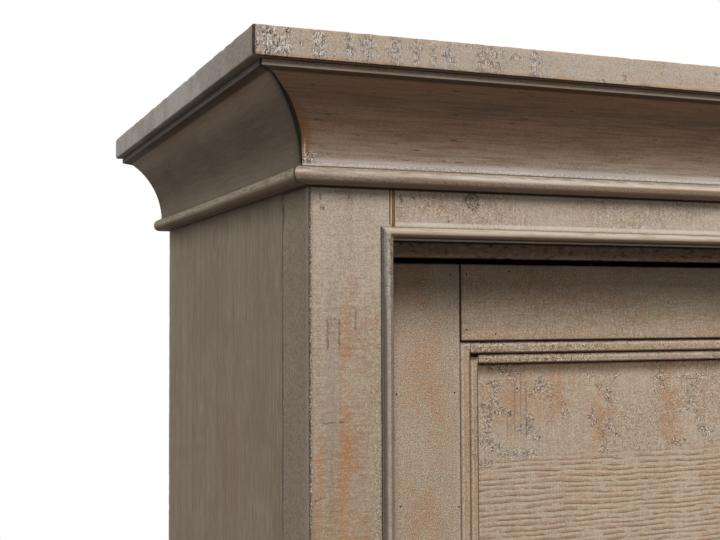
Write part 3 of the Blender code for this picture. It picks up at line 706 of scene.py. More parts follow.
def aged_iron(name):
    """Dark iron: a brown patina, hammered hollows and brighter rubbed high spots."""
    colours = bpy.context.scene.chest_finish
    iron = Finish(name, 0.42, metallic=0.85)
    hammered = iron.noise(iron.place, 260, 2, 0.4)
    rust = iron.noise(iron.place, 95, 4, 0.65)
    speck = iron.noise(iron.place, 900, 3, 0.6)
    iron.colour = iron.tint(
        iron.ramp(hammered, 0.35, 0.7), shade(colours.iron, 0.8), shade(colours.iron, 1.5)
    )
    iron.lay(0.7 * iron.ramp(rust, 0.56, 0.68), RUST)
    iron.lay(0.5 * iron.ramp(speck, 0.62, 0.75), IRON_SPECK)
    iron.height = hammered * 0.8 + speck * 0.12
    iron.roughness = 0.34 + 0.3 * iron.ramp(rust, 0.45, 0.65)
    return iron


def plain(name, colour, roughness):
    """The dark stuff at the bottom of a worm hole or a joint."""
    stuff = Finish(name, roughness)
    grime = stuff.noise(stuff.place, 700, 2)
    stuff.colour = stuff.tint(grime, shade(colour, 0.7), shade(colour, 1.2))
    return stuff.close()


def rule(shape, axis, spacing):
    """Cut across every long edge that runs along an axis."""
    def runs_along(edge):
        reach = edge.verts[1].co - edge.verts[0].co
        return abs(reach[axis]) > ALIGNED * reach.length and reach.length > LONG_EDGE * spacing

    edges = [edge for edge in shape.edges if runs_along(edge)]
    if edges:
        longest = max(edge.calc_length() for edge in edges)
        bmesh.ops.subdivide_edges(
            shape, edges=edges, cuts=int(longest / spacing), use_grid_fill=True
        )


def knocked(place):
    """How hard an edge is knocked at a place."""
    return 0.5 * noise.noise(place * KNOCKS[0]) + noise.noise(place * KNOCKS[1])


def weather(shape, low, high, wear, grain, seed, relief=1.0, chip_share=1.0):
    """Knock the edges of a board and hollow its faces a little, always inwards."""
    reach = EDGE_REACH * wear.arris
    middle = (low + high) / 2
    stretch = Vector(along_only(grain, 1, HOLLOW_STRETCH))
    for vert in shape.verts:
        depths = [min(vert.co[axis] - low[axis], high[axis] - vert.co[axis]) for axis in AXES]
        nearest, second = sorted(AXES, key=depths.__getitem__)[:2]
        place = vert.co + seed
        knock = knocked(place)
        edge = max(0, 1 - depths[second] / reach)
        inward = [0, 0, 0]
        for axis in (nearest, second):
            inward[axis] = wear.chip * chip_share * edge * max(0, knock - KNOCK_SPARED)
        hollow = 0.5 + 0.5 * noise.noise(place * stretch * HOLLOWS)
        inward[nearest] += wear.relief * relief * hollow
        for axis in AXES:
            vert.co[axis] += inward[axis] if vert.co[axis] < middle[axis] else -inward[axis]


def box_shape(low, high, arris):
    """A box between two corners with its edges rounded."""
    shape = bmesh.new()
    bmesh.ops.create_cube(shape, size=1)
    bmesh.ops.scale(shape, vec=high - low, verts=shape.verts)
    bmesh.ops.translate(shape, vec=(low + high) / 2, verts=shape.verts)
    bmesh.ops.bevel(
        shape, geom=shape.edges[:], offset=arris, segments=ARRIS_STEPS, profile=0.5, affect="EDGES",
        material=-1
    )
    return shape


def bore(shape, wear, depth, holes):
    """Sink a worm hole in the face nearest each place on an upright front."""
    for across, up in holes:
        spot = Vector((across, depth, up))
        face = min(shape.faces, key=lambda face: (face.calc_center_median() - spot).length_squared)
        bmesh.ops.inset_individual(
            shape, faces=[face], thickness=wear.spacing * HOLE_RIM, use_even_offset=True
        )
        bmesh.ops.inset_individual(
            shape, faces=[face], thickness=wear.spacing * HOLE_TAPER, depth=-wear.hole
        )
        for edge in face.edges:
            for side in edge.link_faces:
                side.material_index = PIT


def add_part(shape, part):
    """Add a worked part to a shape."""
    mesh = bpy.data.meshes.new("part")
    part.to_mesh(mesh)
    part.free()
    shape.from_mesh(mesh)
    bpy.data.meshes.remove(mesh)


def cut(shape, place, normal, clear=False):
    """Cut a shape by a plane and, if asked, clear what lies beyond it."""
    bmesh.ops.bisect_plane(
        shape, geom=shape.verts[:] + shape.edges[:] + shape.faces[:], plane_co=place,
        plane_no=normal, clear_outer=clear,
    )


def finished(node, shape, materials):
    """Make a worked shape the piece that stands for a CAD node and rides on its body."""
    name = "aged_" + node
    mesh = bpy.data.meshes.new(name)
    shape.to_mesh(mesh)
    shape.free()
    mesh.shade_smooth()
    mesh.set_sharp_from_angle(angle=SMOOTH)
    for material in materials:
        mesh.materials.append(material)
    piece = bpy.data.objects.new(name, mesh)
    bpy.context.scene.collection.objects.link(piece)
    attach(piece, BODY_OF[node])
    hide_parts(node)


def aged_board(
    node, wood, grain, spacing, low=None, high=None, relief=1.0, holes=(),
    arris_share=1.0
):
    """A worn board in a CAD board's place: ruled all over, so that edges and faces can wear."""
    wear = bpy.context.scene.chest_wear
    if low is None:
        low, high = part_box(node)
    shape = box_shape(low, high, wear.arris * arris_share)
    for axis, step in zip(AXES, spacing):
        rule(shape, axis, step)
    weather(shape, low, high, wear, grain, Vector(shift_of(node)), relief, arris_share)
    bore(shape, wear, low.y, holes)
    finished(node, shape, [wood.close(), bpy.data.materials["pit_umber"]])


def merged(node):
    """A copy of a CAD node's mesh, welded, with its flat faces whole."""
    shape = bmesh.new()
    shape.from_mesh(frame["nodes"][node].data)
    bmesh.ops.remove_doubles(shape, verts=shape.verts, dist=WELD)
    bmesh.ops.dissolve_limit(shape, angle_limit=FLAT, verts=shape.verts, edges=shape.edges)
    return shape


def rub(shape, chip, seed):
    """Wear the creased edges of a shaped piece inwards, by different amounts along them."""
    shape.normal_update()
    moves = []
    for vert in shape.verts:
        creased = any(
            len(edge.link_faces) == 2 and edge.calc_face_angle_signed(0) > CREASE
            for edge in vert.link_edges
        )
        if creased:
            moves.append((vert, -vert.normal * chip * max(0, knocked(vert.co + seed))))
    for vert, move in moves:
        vert.co += move


def aged_copy(node, wood, axes, spacing, chip_share=0.5):
    """A worn copy of a shaped CAD piece, cut across its runs so that its edges can wear."""
    wear = bpy.context.scene.chest_wear
    shape = merged(node)
    for axis in axes:
        rule(shape, axis, spacing)
    rub(shape, wear.chip * chip_share, Vector(shift_of(node)))
    finished(node, shape, [wood.close()])


def bare_board(node, grain):
    """A worn copy of an unpainted board."""
    aged_copy(node, bare_wood(node + "_pine", grain), (grain,), BARE_STEP, 0.6)


def mitre_distance(wood):
    """How far along the cornice or base a point is from the nearer front mitre."""
    return SIDE + FRONT - abs(wood.x) - wood.y


class CHEST_OT_slab(bpy.types.Operator):
    """Make the top slab, rough sawn along its front edge"""

    bl_idname = "chest.slab"
    bl_label = "Top slab"

    def execute(self, context):
        colours = context.scene.chest_finish
        wood = Pine("slab_pine", ACROSS, shade(colours.glaze, 1.05))
        front = wood.fade(wood.y - SLAB_LOW.y, 0.002, 0.006)
        wood.glaze(
            flecks=0.05, bands=0.18, ticks=0.04, sawn=0.5, mottle=0.2 * front + 0.12, fibres=0.2
        )
        edge_side = wood.fade(SLAB_HIGH.x - abs(wood.x), 0.0015, 0.004)
        self.sawn_side(wood, edge_side * (1 - front))
        self.sawn_front(wood, front)
        above, below = SLAB_HIGH.z - wood.z, wood.z - SLAB_LOW.z
        ragged = 0.002 * (wood.grit - 0.5)
        wood.lay(front * 0.45 * wood.fade(above + ragged, 0.0008, 0.0036), SLAB_TAN)
        rubbed = wood.ramp(wood.broad * 0.6 + wood.grit * 0.4, 0.42, 0.56)
        wood.lay(
            front * 0.65 * rubbed * wood.line(below - 0.0013 + 0.4 * ragged, 0.001), SLAB_ORANGE
        )
        wood.lay(front * wood.fade(below, 0.0002, 0.0007), colours.umber_and_shade)
        wood.lay((1 - front) * 0.8 * wood.fade(below, 0.0002, 0.0012), SLAB_SEAM)
        corner = wood.length(wood.x - SLAB_LOW.x, wood.y - SLAB_LOW.y)
        wood.lay(0.5 * (1 - front) * wood.fade(corner, 0.0025, 0.0052), colours.rubbed_pine)
        wood.lay(0.95 * wood.fade(corner + 0.5 * ragged, 0.0013, 0.0024), SLAB_CORNER)
        aged_board("top_slab", wood, ACROSS, SLAB_STEPS, relief=1.3)
        return {"FINISHED"}

    def sawn_side(self, wood, side):
        """Chalky grey ends, laid thicker on the left end as painted light, browner towards the
        front corner, with a mottle drawn along them.
        """
        pale = wood.tint(wood.ramp(wood.y - SLAB_LOW.y, 0.02, 0.14), END_NEAR, END_FAR)
        # Painted light: the pale layer is thicker on the left end, away from the key lamp
        wood.lay(side * (0.85 - 0.5 * wood.ramp(wood.x, 0, 0.1)), pale)
        wood.lay(0.4 * side * wood.ramp(wood.cloud * 0.5 + wood.broad * 0.5, 0.46, 0.58), END_STAIN)
        mottle = wood.drawn(along_only(DEEP, 0.12), 900)
        wood.tones(mottle, (0.28 * side, 0.5, 0.62), END_DARK, (0.22 * side, 0.38, 0.48), END_PALE)

    def sawn_front(self, wood, front):
        """Upright tan and grey smears, and wandering saw cuts in close groups."""
        smear = wood.drawn((1, 1, 0.1), 330)
        wood.tones(
            smear, (front * 0.26, 0.47, 0.62), SMEAR_TAN, (front * 0.35, 0.36, 0.52), SMEAR_GREY
        )
        groups = wood.ramp(wood.drawn((1, 0, 0.55), 75), 0.54, 0.64)
        for place, half in SAW_CUTS:
            near = abs(wood.x - place) + 0.01 * (wood.grit - 0.5)
            groups = wood.most(groups, wood.fade(near, half * 0.3, half))
        patchy = wood.drawn((1, 1, 1.6), 95, 2)
        faint = 0.32 * wood.ramp(wood.x, -0.535, -0.5)
        groups = groups * (0.25 + 0.75 * wood.ramp(patchy, 0.36, 0.5)) * (1 - faint)
        wood.scrawl = wood.noise(wood.place, 620, 1, 0.5, 0.7)
        hatched = wood.ramp(wood.x, -0.475, -0.455)
        wood.scrawled(front * (0.14 + 0.86 * groups) * (1 - 0.25 * hatched))
        cuts = wood.drawn((1, 1, 0.38), 1000, 2)
        upright = wood.drawn((1, 1, 0.13), 1150, 2)
        level = wood.drawn((0.2, 1, 1), 1150, 2)
        marked = front * groups
        hatching = marked * hatched
        wood.lay(marked * (0.9 - 0.5 * hatched) * wood.ramp(cuts, 0.53, 0.59), CUT_DARK)
        wood.lay(hatching * 0.9 * wood.ramp(upright, 0.52, 0.58), CUT_UPRIGHT)
        wood.lay(hatching * 0.75 * wood.ramp(level, 0.54, 0.6), CUT_LEVEL)
        wood.lay(marked * 0.85 * wood.fade(cuts, 0.4, 0.46), CUT_PALE)
        wood.height = wood.height + marked * cuts * 0.6


class CHEST_OT_cornice(bpy.types.Operator):
    """Make the cornice: dark glaze in its cove and along its mitres, pale paint and pine on its
    bead, painted light and shade
    """

    bl_idname = "chest.cornice"
    bl_label = "Cornice"

    def execute(self, context):
        for node, grain in (
            ("cornice_front", ACROSS), ("cornice_left", DEEP), ("cornice_right", DEEP)
        ):
            wood = self.finish(context.scene.chest_finish, node, grain, grain == ACROSS)
            aged_copy(node, wood, (grain,), context.scene.chest_wear.spacing, 0.45)
        return {"FINISHED"}

    def finish(self, colours, node, grain, front):
        """The layers of one length, from the fillet down to the bead, and then its mitres."""
        foot = CORNICE_HIGH.z - CORNICE_LOW.z
        look = CORNICE_FRONT if front else CORNICE_SIDE
        glaze = shade(colours.glaze if front else colours.side_glaze, 0.92)
        wood = Pine(node + "_pine", grain, glaze, look["gloss"])
        wood.glaze(**look["glaze"])
        drop = UNDER_SLAB - wood.z
        uneven = wood.drawn(along_only(grain, 0.12), 70, 3, 0.55)
        self.cove(wood, drop, uneven, grain, look, front)
        self.fillet(wood, drop, look)
        self.bead(wood, drop - (foot - CORNICE_BEAD), uneven, grain, look, front)
        # Painted shade: brown on the underside of the bead, near black where the bead meets the
        # case
        wood.lay(0.95 * wood.ramp(drop, foot - 0.003, foot - 0.0014), BEAD_UNDERSIDE_SHADE)
        wood.lay(
            0.9 * wood.fade(wood.most(FRONT - wood.y, abs(wood.x) - SIDE), 0.0006, 0.005),
            shade(colours.umber_and_shade, 0.4),
        )
        cove_only = wood.fade(drop, foot - 0.014, foot - 0.0125)
        self.mitres(wood, abs(mitre_distance(wood)), drop, cove_only, front)
        return wood

    def cove(self, wood, drop, uneven, grain, look, front):
        """Dark glaze that thins out down the cove, drawn along in streaks, with painted light at
        its top under the fillet.
        """
        colours = wood.colours
        streaks = wood.drawn(along_only(grain, 0.05), 480, 4, 0.65)
        hollow = wood.fade(drop + 0.008 * (uneven - 0.5), 0.032, 0.072)
        dark = colours.cove_glaze if front else colours.side_cove
        light, deep = (shade(dark, share) for share in look["streaks"])
        wood.lay(hollow * 0.96, wood.tint(wood.ramp(streaks, 0.36, 0.64), light, deep))
        # Painted light: a lighter brown at the top of the cove, against the shade under the fillet
        wood.lay(0.85 * wood.fade(drop, 0.0056, look["head"]), shade(dark, look["painted_light_share"]))
        wood.lay(hollow * 0.25 * wood.ramp(streaks, 0.5, 0.6), shade(dark, 0.8))
        wood.tones(
            wood.fine, (hollow * 0.3, 0.5, 0.62), shade(dark, 0.66),
            (hollow * 0.22, 0.38, 0.5), shade(dark, 1.8),
        )
        if front:
            streaked = wood.ramp(drop, 0.026, 0.046) * wood.ramp(streaks, 0.54, 0.64)
            wood.lay(0.5 * streaked, shade(colours.rubbed_pine, 0.55))
            dashes = wood.drawn(along_only(grain, 0.16), 560, 1, 0.5)
            wood.lay(
                0.75 * wood.ramp(dashes, 0.715, 0.745) * wood.fade(drop, 0.055, 0.062),
                colours.umber_and_shade,
            )

    def fillet(self, wood, drop, look):
        """The square edge above the cove: brown, its lower edge pale (rubbed at the front, a
        painted highlight at the sides), a painted shadow below.
        """
        fillet = wood.fade(drop, 0.0044, 0.005)
        wood.lay(0.9 * fillet, look["fillet"])
        wood.lay(0.45 * fillet * wood.ramp(wood.fine, 0.5, 0.62), FILLET_GRIME)
        wood.lay(fillet * wood.ramp(drop, 0.0022, 0.0036) * 0.75, look["fillet_rub_and_highlight"])
        # Painted shadow: the dark line in the step under the fillet
        wood.mark(drop - 0.0049, 0.001, 1, 0.9, wood.colours.umber_and_shade)

    def bead(self, wood, below, uneven, grain, look, front):
        """The half-round bead at the foot: rubbed tan above with painted highlights, dark and dirty
        below.
        """
        colours = wood.colours
        top = look["bead_top"]
        rough = wood.ramp(wood.grit * 0.6 + uneven * 0.4, 0.44, 0.52)
        if front:
            # Painted highlight: pale above the bead and along its top edge
            wood.lay(0.4 * wood.between(below, -0.006, 0.0004, 0.003), PALE_CHALK_AND_HIGHLIGHT)
            wood.mark(below + 0.0006, 0.0016, rough, 0.75, PALE_CHALK_AND_HIGHLIGHT)
        wood.mark(
            below - top, 0.0011, wood.ramp(wood.grit, 0.36, 0.46), look["bead_line"], colours.umber_and_shade
        )
        upper = wood.between(below, top, look["bead_end"], 0.0018)
        wood.lay(upper * look["bead_share"], look["bead"])
        streaks = wood.drawn(along_only(grain, 0.12), 620, 3, 0.65)
        wood.tones(
            streaks, (upper * 0.6, 0.52, 0.62), BEAD_STREAK, (upper * 0.4, 0.38, 0.48), PALE_CHALK_AND_HIGHLIGHT
        )
        wander = below - look["bead_low"] + 0.0024 * (uneven - 0.5)
        if front:
            uneven = uneven * 0.7 + wood.grit * 0.3 - 0.1 + 0.14 * wood.ramp(wood.x, -0.46, -0.4)
            thick = wood.ramp(uneven, 0.42, 0.54)
            rubbed = wood.ramp(wood.x, -0.47, -0.38)
            # Painted highlight across the bead's front, stronger towards the right
            wood.mark(below - 0.0056, 0.0021, 0.1 + 0.34 * rubbed, 1, shade(PALE_CHALK_AND_HIGHLIGHT, 1.1))
            wood.mark(wander - 0.001, 0.0014, thick, 0.75, shade(colours.rubbed_pine, 0.85))
        lower = wood.ramp(wander, 0.0002, 0.0022)
        wood.lay(0.6 * lower, look["bead_foot"])
        wood.lay(0.45 * lower * wood.ramp(wood.fine, 0.5, 0.6), BEAD_GRIME)

    def mitres(self, wood, mitre, drop, cove_only, front):
        """Black glaze in the mitre, widest in the middle of the cove, and a rubbed halo beside."""
        colours = wood.colours
        pooled = 0.0008 + 0.0019 * wood.line(drop - 0.03, 0.024)
        if front:
            halo = cove_only * wood.ramp(drop, 0.012, 0.03)
            wood.darken(
                halo * 0.9 * wood.fade(mitre, 0.005, 0.013) * wood.fade(drop, 0.036, 0.054), 0.58
            )
            wood.lay(halo * 0.6 * wood.line(mitre - pooled - 0.0022, 0.0048), MITRE_HALO)
            below = wood.ramp(drop, 0.032, 0.046) * cove_only * wood.ramp(wood.grit, 0.4, 0.54)
            wood.mark(
                mitre - pooled - 0.0038, 0.0018, below, 0.65, shade(colours.rubbed_pine, 0.55)
            )
            wood.mark(
                mitre - pooled - 0.002, 0.0009, below * wood.ramp(drop, 0.042, 0.05), 0.6,
                colours.chalk_and_highlight,
            )
            foot = cove_only * wood.ramp(drop, 0.05, 0.056) * wood.fade(mitre, 0.006, 0.016)
            wood.scrawled(foot * 0.9)
        else:
            wood.lay(0.35 * cove_only * wood.fade(mitre, 0.002, 0.02), MITRE_SHADE)
            wood.lay(0.8 * cove_only * wood.fade(mitre, 0.0012, 0.007), MITRE_EDGE)
            specked = wood.ramp(drop, 0.04, 0.052) * cove_only * wood.ramp(wood.cloud, 0.4, 0.56)
            wood.lay(0.65 * specked * wood.fade(wood.grit, 0.34, 0.41), shade(colours.umber_and_shade, 0.6))
        wood.lay(wood.fade(mitre + 0.0008 * (wood.grit - 0.5), 0.0005, 0.0011), colours.umber_and_shade)
        wood.lay(cove_only * wood.fade(mitre - pooled, -0.0006, 0.0004), MITRE_BLACK)


def painted_shadow_under_cornice(wood):
    """A painted shadow: the black line on a front board just under the cornice's foot."""
    wood.lay(
        0.97 * wood.fade(CORNICE_LOW.z - wood.z, 0.0009, 0.0021), shade(wood.colours.umber_and_shade, 0.4)
    )


def painted_shade_under_cornice(wood, mask=1):
    """Painted shade on a side, darkest under the cornice."""
    wood.darken(mask * 0.85 * wood.fade(CORNICE_LOW.z - wood.z, -0.004, 0.027), 0.2)


class CHEST_OT_posts(bpy.types.Operator):
    """Make the two corner posts, worn along their front corners"""

    bl_idname = "chest.posts"
    bl_label = "Corner posts"

    def execute(self, context):
        colours = context.scene.chest_finish
        for node in ("left_post", "right_post"):
            low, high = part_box(node)
            wood = Pine(node + "_pine", UP, shade(colours.glaze, 1.05))
            behind = wood.ramp(wood.y - low.y, 0.0012, 0.0026)
            side = behind * wood.ramp(abs(wood.x), SIDE - 0.004, SIDE - 0.001)
            face = 1 - side
            lower = wood.ramp(POST_HIGH.z - wood.z + 0.04 * (wood.broad - 0.5), 0.06, 0.32)
            wood.glaze(
                flecks=0.18 - 0.1 * side, bands=(0.06 + 0.5 * lower) * face, ticks=0.38 * face,
                sawn=0.4, mottle=0.3 + 0.22 * lower, cloudy=0.3, fibres=0.16,
            )
            wood.lay(side * 0.8, shade(colours.side_glaze, 0.94))
            grain = wood.drawn((1, 1, 0.75), 700, 3, 0.65)
            wood.tones(
                grain, (side * 0.85, 0.5, 0.64), shade(colours.side_glaze, 0.6),
                (side * 0.6, 0.36, 0.5), shade(colours.side_glaze, 1.35),
            )
            # painted shade under the cornice, on the post's side face
            painted_shade_under_cornice(wood, side)
            wide = 0.003 * wood.fade(CORNICE_LOW.z - wood.z, 0.014, 0.034)
            seam = high.y - wood.y + 0.0016 * (wood.grit - 0.5) - wide
            wood.lay(side * 0.92 * wood.fade(seam, 0.0011, 0.0024), shade(colours.umber_and_shade, 0.7))
            wood.lay(
                0.4 * face * wood.ramp(wood.band * 0.8 + wood.fine * 0.2, 0.5, 0.64), POST_GREY
            )
            wood.lay(lower * face * 0.5, POST_BROWN)
            wood.lay(lower * face * 0.25 * wood.ramp(wood.saw, 0.5, 0.62), POST_TICK)
            self.streaks(wood, face, lower)
            self.dotted(wood, face, lower)
            wood.lay(side * 0.45 * wood.fade(wood.y - low.y, 0.003, 0.0095), POST_EDGE)
            wood.lay(face * 0.45 * wood.fade(SIDE - abs(wood.x), 0.001, 0.0034), POST_CORNER)
            wood.wear(low, high, 0.85, 0.0024, 0.35)
            corner = SIDE - abs(wood.x) - 0.0006 + 0.0008 * (wood.grit - 0.5)
            broken = wood.most(
                wood.ramp(wood.grit, 0.42, 0.54), wood.fade(CORNICE_LOW.z - wood.z, 0.012, 0.03)
            )
            wood.mark(corner, 0.0011, face * broken, 0.75, shade(colours.umber_and_shade, 1.4))
            self.joint(wood, face)
            self.beside_bead(wood, face)
            painted_shadow_under_cornice(wood)
            if node == "left_post":
                for start, end, width in POST_SCRATCHES:
                    wood.scratch(start, end, width, shade(colours.umber_and_shade, 1.5), face * 0.65)
            aged_board(node, wood, UP, POST_STEPS, arris_share=0.55)
        return {"FINISHED"}

    def streaks(self, wood, face, lower):
        """Orange streaks down the post, where the glaze is rubbed along the grain."""
        wander = 0.006 * (wood.broad - 0.5) + 0.003 * (wood.fibre - 0.5) + 0.002 * (wood.saw - 0.5)
        rubbed = wood.broad * 0.4 + wood.saw * 0.3 + wood.fine * 0.3
        broken = face * lower * wood.ramp(rubbed, 0.42, 0.56)
        for place, width, strength in POST_STREAKS:
            wood.mark(
                abs(wood.x) - place + wander, width, broken, strength, wood.colours.rubbed_pine
            )
        clouded = wood.ramp(wood.cloud, 0.44, 0.58)
        bluish = wood.line(abs(wood.x) - 0.485 + 2 * wander, 0.0075) * clouded
        wood.lay(0.4 * face * lower * bluish, POST_BLUISH)

    def dotted(self, wood, face, lower):
        """Close dots of dark glaze and chalk, towards the opening."""
        inwards = SIDE - abs(wood.x) + 0.01 * (wood.cloud - 0.5)
        strip = wood.between(inwards, 0.04, 0.066, 0.01) * face * lower
        dots = wood.speck * 0.7 + wood.saw * 0.3
        wood.lay(0.6 * strip * wood.fade(dots, 0.38, 0.46), POST_DOT)
        wood.lay(0.45 * strip * wood.ramp(dots, 0.54, 0.6), wood.colours.chalk_and_highlight)

    def joint(self, wood, face):
        """The tan groove between the post and the top rail."""
        above = wood.ramp(wood.z, BEAD_HIGH.z + 0.001, BEAD_HIGH.z + 0.002)
        wood.mark(abs(wood.x) - OPENING - 0.0021, 0.0008, face * above, 0.9, wood.colours.umber_and_shade)
        wood.lay(
            face * above * wood.fade(abs(wood.x) - OPENING, 0.0013, 0.0018), wood.colours.groove
        )

    def beside_bead(self, wood, face):
        """A thin dark line on the post along the door opening's bead: glaze in the joint, and
        painted shade.
        """
        below_top = wood.fade(wood.z, BEAD_HIGH.z, BEAD_HIGH.z + 0.001)
        within = below_top * wood.ramp(wood.z, BEAD_LOW.z - 0.001, BEAD_LOW.z)
        wood.mark(
            BEAD_HIGH.x - abs(wood.x) + 0.0002, 0.0007, face * within, 0.35, wood.colours.umber_and_shade
        )


class CHEST_OT_sides(bpy.types.Operator):
    """Make the two side panels, smooth and brown, with fine upright grain"""

    bl_idname = "chest.sides"
    bl_label = "Side panels"

    def execute(self, context):
        colours = context.scene.chest_finish
        for node in ("left_side_panel", "right_side_panel"):
            low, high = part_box(node)
            wood = Pine(node + "_pine", UP, colours.side_glaze)
            wood.glaze(
                flecks=0.05, bands=0.1, ticks=0.0, sawn=0.1, mottle=0.2, cloudy=0.5, fibres=0.6
            )
            wood.lay(0.35 * wood.ramp(wood.band, 0.48, 0.66), SIDE_BAND)
            wood.lay(0.35 * wood.ramp(wood.figure, 0.5, 0.64), shade(colours.side_glaze, 0.72))
            wood.wear(low, high, 0.1, 0.002, 0.7)
            # painted shade under the cornice
            painted_shade_under_cornice(wood)
            aged_board(node, wood, UP, SIDE_STEPS, relief=0.6)
        return {"FINISHED"}


class CHEST_OT_rails(bpy.types.Operator):
    """Make the rails of the face frame"""

    bl_idname = "chest.rails"
    bl_label = "Rails"

    def execute(self, context):
        colours = context.scene.chest_finish
        for node in ("top_rail", "middle_rail", "drawer_rail", "bottom_rail"):
            low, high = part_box(node)
            wood = Pine(node + "_pine", ACROSS, shade(colours.glaze, 1.14))
            wood.glaze(flecks=0.36, bands=0.1, ticks=0.34, sawn=0.5, mottle=0.26, fibres=0.2)
            wood.wear(low, high, 0.15, 0.002, 0.5)
            if node == "top_rail":
                self.top(wood)
                painted_shadow_under_cornice(wood)
            aged_board(node, wood, ACROSS, RAIL_STEPS)
        self.inner(colours)
        return {"FINISHED"}

    def inner(self, colours):
        """The rail behind the top rail, worn in patches; its dark colour is painted shade, its
        black top line a painted shadow.
        """
        wood = Pine("inner_top_rail_pine", ACROSS, INNER_RAIL_SHADE)
        wood.glaze(flecks=0.06, bands=0.0, ticks=0.0, sawn=0.3, mottle=0.05, fibres=0.08)
        worn = wood.drawn((0.5, 1, 1), 300)
        wood.tones(
            worn, (0.8, 0.57, 0.62), shade(colours.umber_and_shade, 0.6), (0.4, 0.36, 0.44), INNER_RAIL_PALE
        )
        wood.mark(wood.z - BEAD_LOW_EDGE + 0.0004, 0.0016, 1, 0.95, SHADOW_UNDER_BEAD)
        aged_board("inner_top_rail", wood, ACROSS, RAIL_STEPS)

    def top(self, wood):
        """The top rail's own marks: a pale line along the bead, worn paint and painted highlight,
        the tan groove at each end and a knot.
        """
        # Pale line above the bead: worn paint and a painted highlight
        wood.mark(wood.z - BEAD_HIGH.z - 0.0021, 0.0019, 1, 0.55, shade(wood.colours.chalk_and_highlight, 1.1))
        wood.mark(OPENING - abs(wood.x) - 0.0012, 0.0008, 1, 0.9, wood.colours.umber_and_shade)
        wood.lay(wood.fade(OPENING - abs(wood.x), 0.0004, 0.0009), wood.colours.groove)
        for start, end, width in RAIL_SCRATCHES:
            wood.scratch(start, end, width, shade(wood.colours.umber_and_shade, 1.6), 0.8)
        across, up = wood.x - KNOT[0], wood.z - KNOT[1]
        warped = wood.noise(wood.place, 210, 2, 0.6)
        ring = wood.length(across, up * 1.15) + 0.008 * (warped - 0.5) + 0.003 * (wood.speck - 0.5)
        heart = wood.fade(ring, 0.0048, 0.0066)
        wood.lay(0.5 * heart, KNOT_HEART)
        wood.scrawled(0.7 * heart)
        wood.mark(ring - 0.0055, 0.0013, wood.ramp(wood.grit, 0.4, 0.52), 0.8, wood.colours.umber_and_shade)
        wood.mark(ring - 0.0026, 0.0012, wood.ramp(wood.speck, 0.44, 0.54), 0.7, wood.colours.umber_and_shade)


class CHEST_OT_beads(bpy.types.Operator):
    """Make the beads round the openings"""

    bl_idname = "chest.beads"
    bl_label = "Opening beads"

    def execute(self, context):
        colours = context.scene.chest_finish
        for node in ("door_opening_bead", "upper_drawer_bead", "lower_drawer_bead"):
            low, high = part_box(node)
            wood = Pine(node + "_pine", ACROSS, colours.glaze)
            beside = high.x - abs(wood.x)
            above = wood.least(high.z - wood.z, wood.z - low.z)
            outside = wood.least(beside, above)
            upright = wood.ramp(above - beside, -0.0005, 0.0005)
            wood.glaze(flecks=0.1 + 0.1 * upright, bands=0.0, ticks=0.0, sawn=0.1, mottle=0.22)
            wood.lay(0.5 * upright, UPRIGHT_BEAD)
            near_top = wood.fade(high.z - wood.z, 0.02, 0.07)
            wood.scrawled(upright * (0.22 + 0.68 * near_top), 0.8)
            # Painted shade along the upright bead's outer edge, and painted light across its flank
            ragged = outside + 0.0008 * (wood.speck - 0.5)
            shaded_edge = ragged - 0.0012 * (1 - near_top)
            wood.lay(0.56 * upright * wood.fade(shaded_edge, 0.0009, 0.0018), colours.umber_and_shade)
            lit = upright * wood.between(outside, 0.0008, 0.0042, 0.001)
            wood.lay((0.18 + 0.26 * near_top) * lit, UPRIGHT_BEAD_LIT)
            wood.lay(0.62 * upright * wood.ramp(outside, 0.0043, 0.0057), shade(colours.umber_and_shade, 1.8))
            level = 1 - upright
            # Painted highlight along the top of the level bead
            wood.mark(outside - 0.0022, 0.002, level, 0.6, shade(colours.chalk_and_highlight, 0.98))
            wood.mark(outside - 0.0001, 0.0009, level, 0.6, shade(colours.umber_and_shade, 2.4))
            dirt = wood.drawn((0.14, 1, 1), 300)
            wood.mark(outside - 0.0044, 0.0018, level, 0.7, LEVEL_BEAD_TAN)
            wood.lay(0.45 * level * wood.ramp(dirt, 0.49, 0.62), LEVEL_BEAD_DIRT)
            # Painted shade under the level bead and along every bead's inner edge
            under = wood.ramp(outside, BEAD_WIDTH - 0.0044, BEAD_WIDTH - 0.0022)
            wood.lay(under * (0.92 - 0.72 * upright), shade(colours.umber_and_shade, 1.2))
            wood.lay(
                0.9 * wood.ramp(outside, BEAD_WIDTH - 0.0012, BEAD_WIDTH - 0.0004), colours.umber_and_shade
            )
            aged_copy(node, wood, (ACROSS, UP), context.scene.chest_wear.spacing, 0.35)
        return {"FINISHED"}


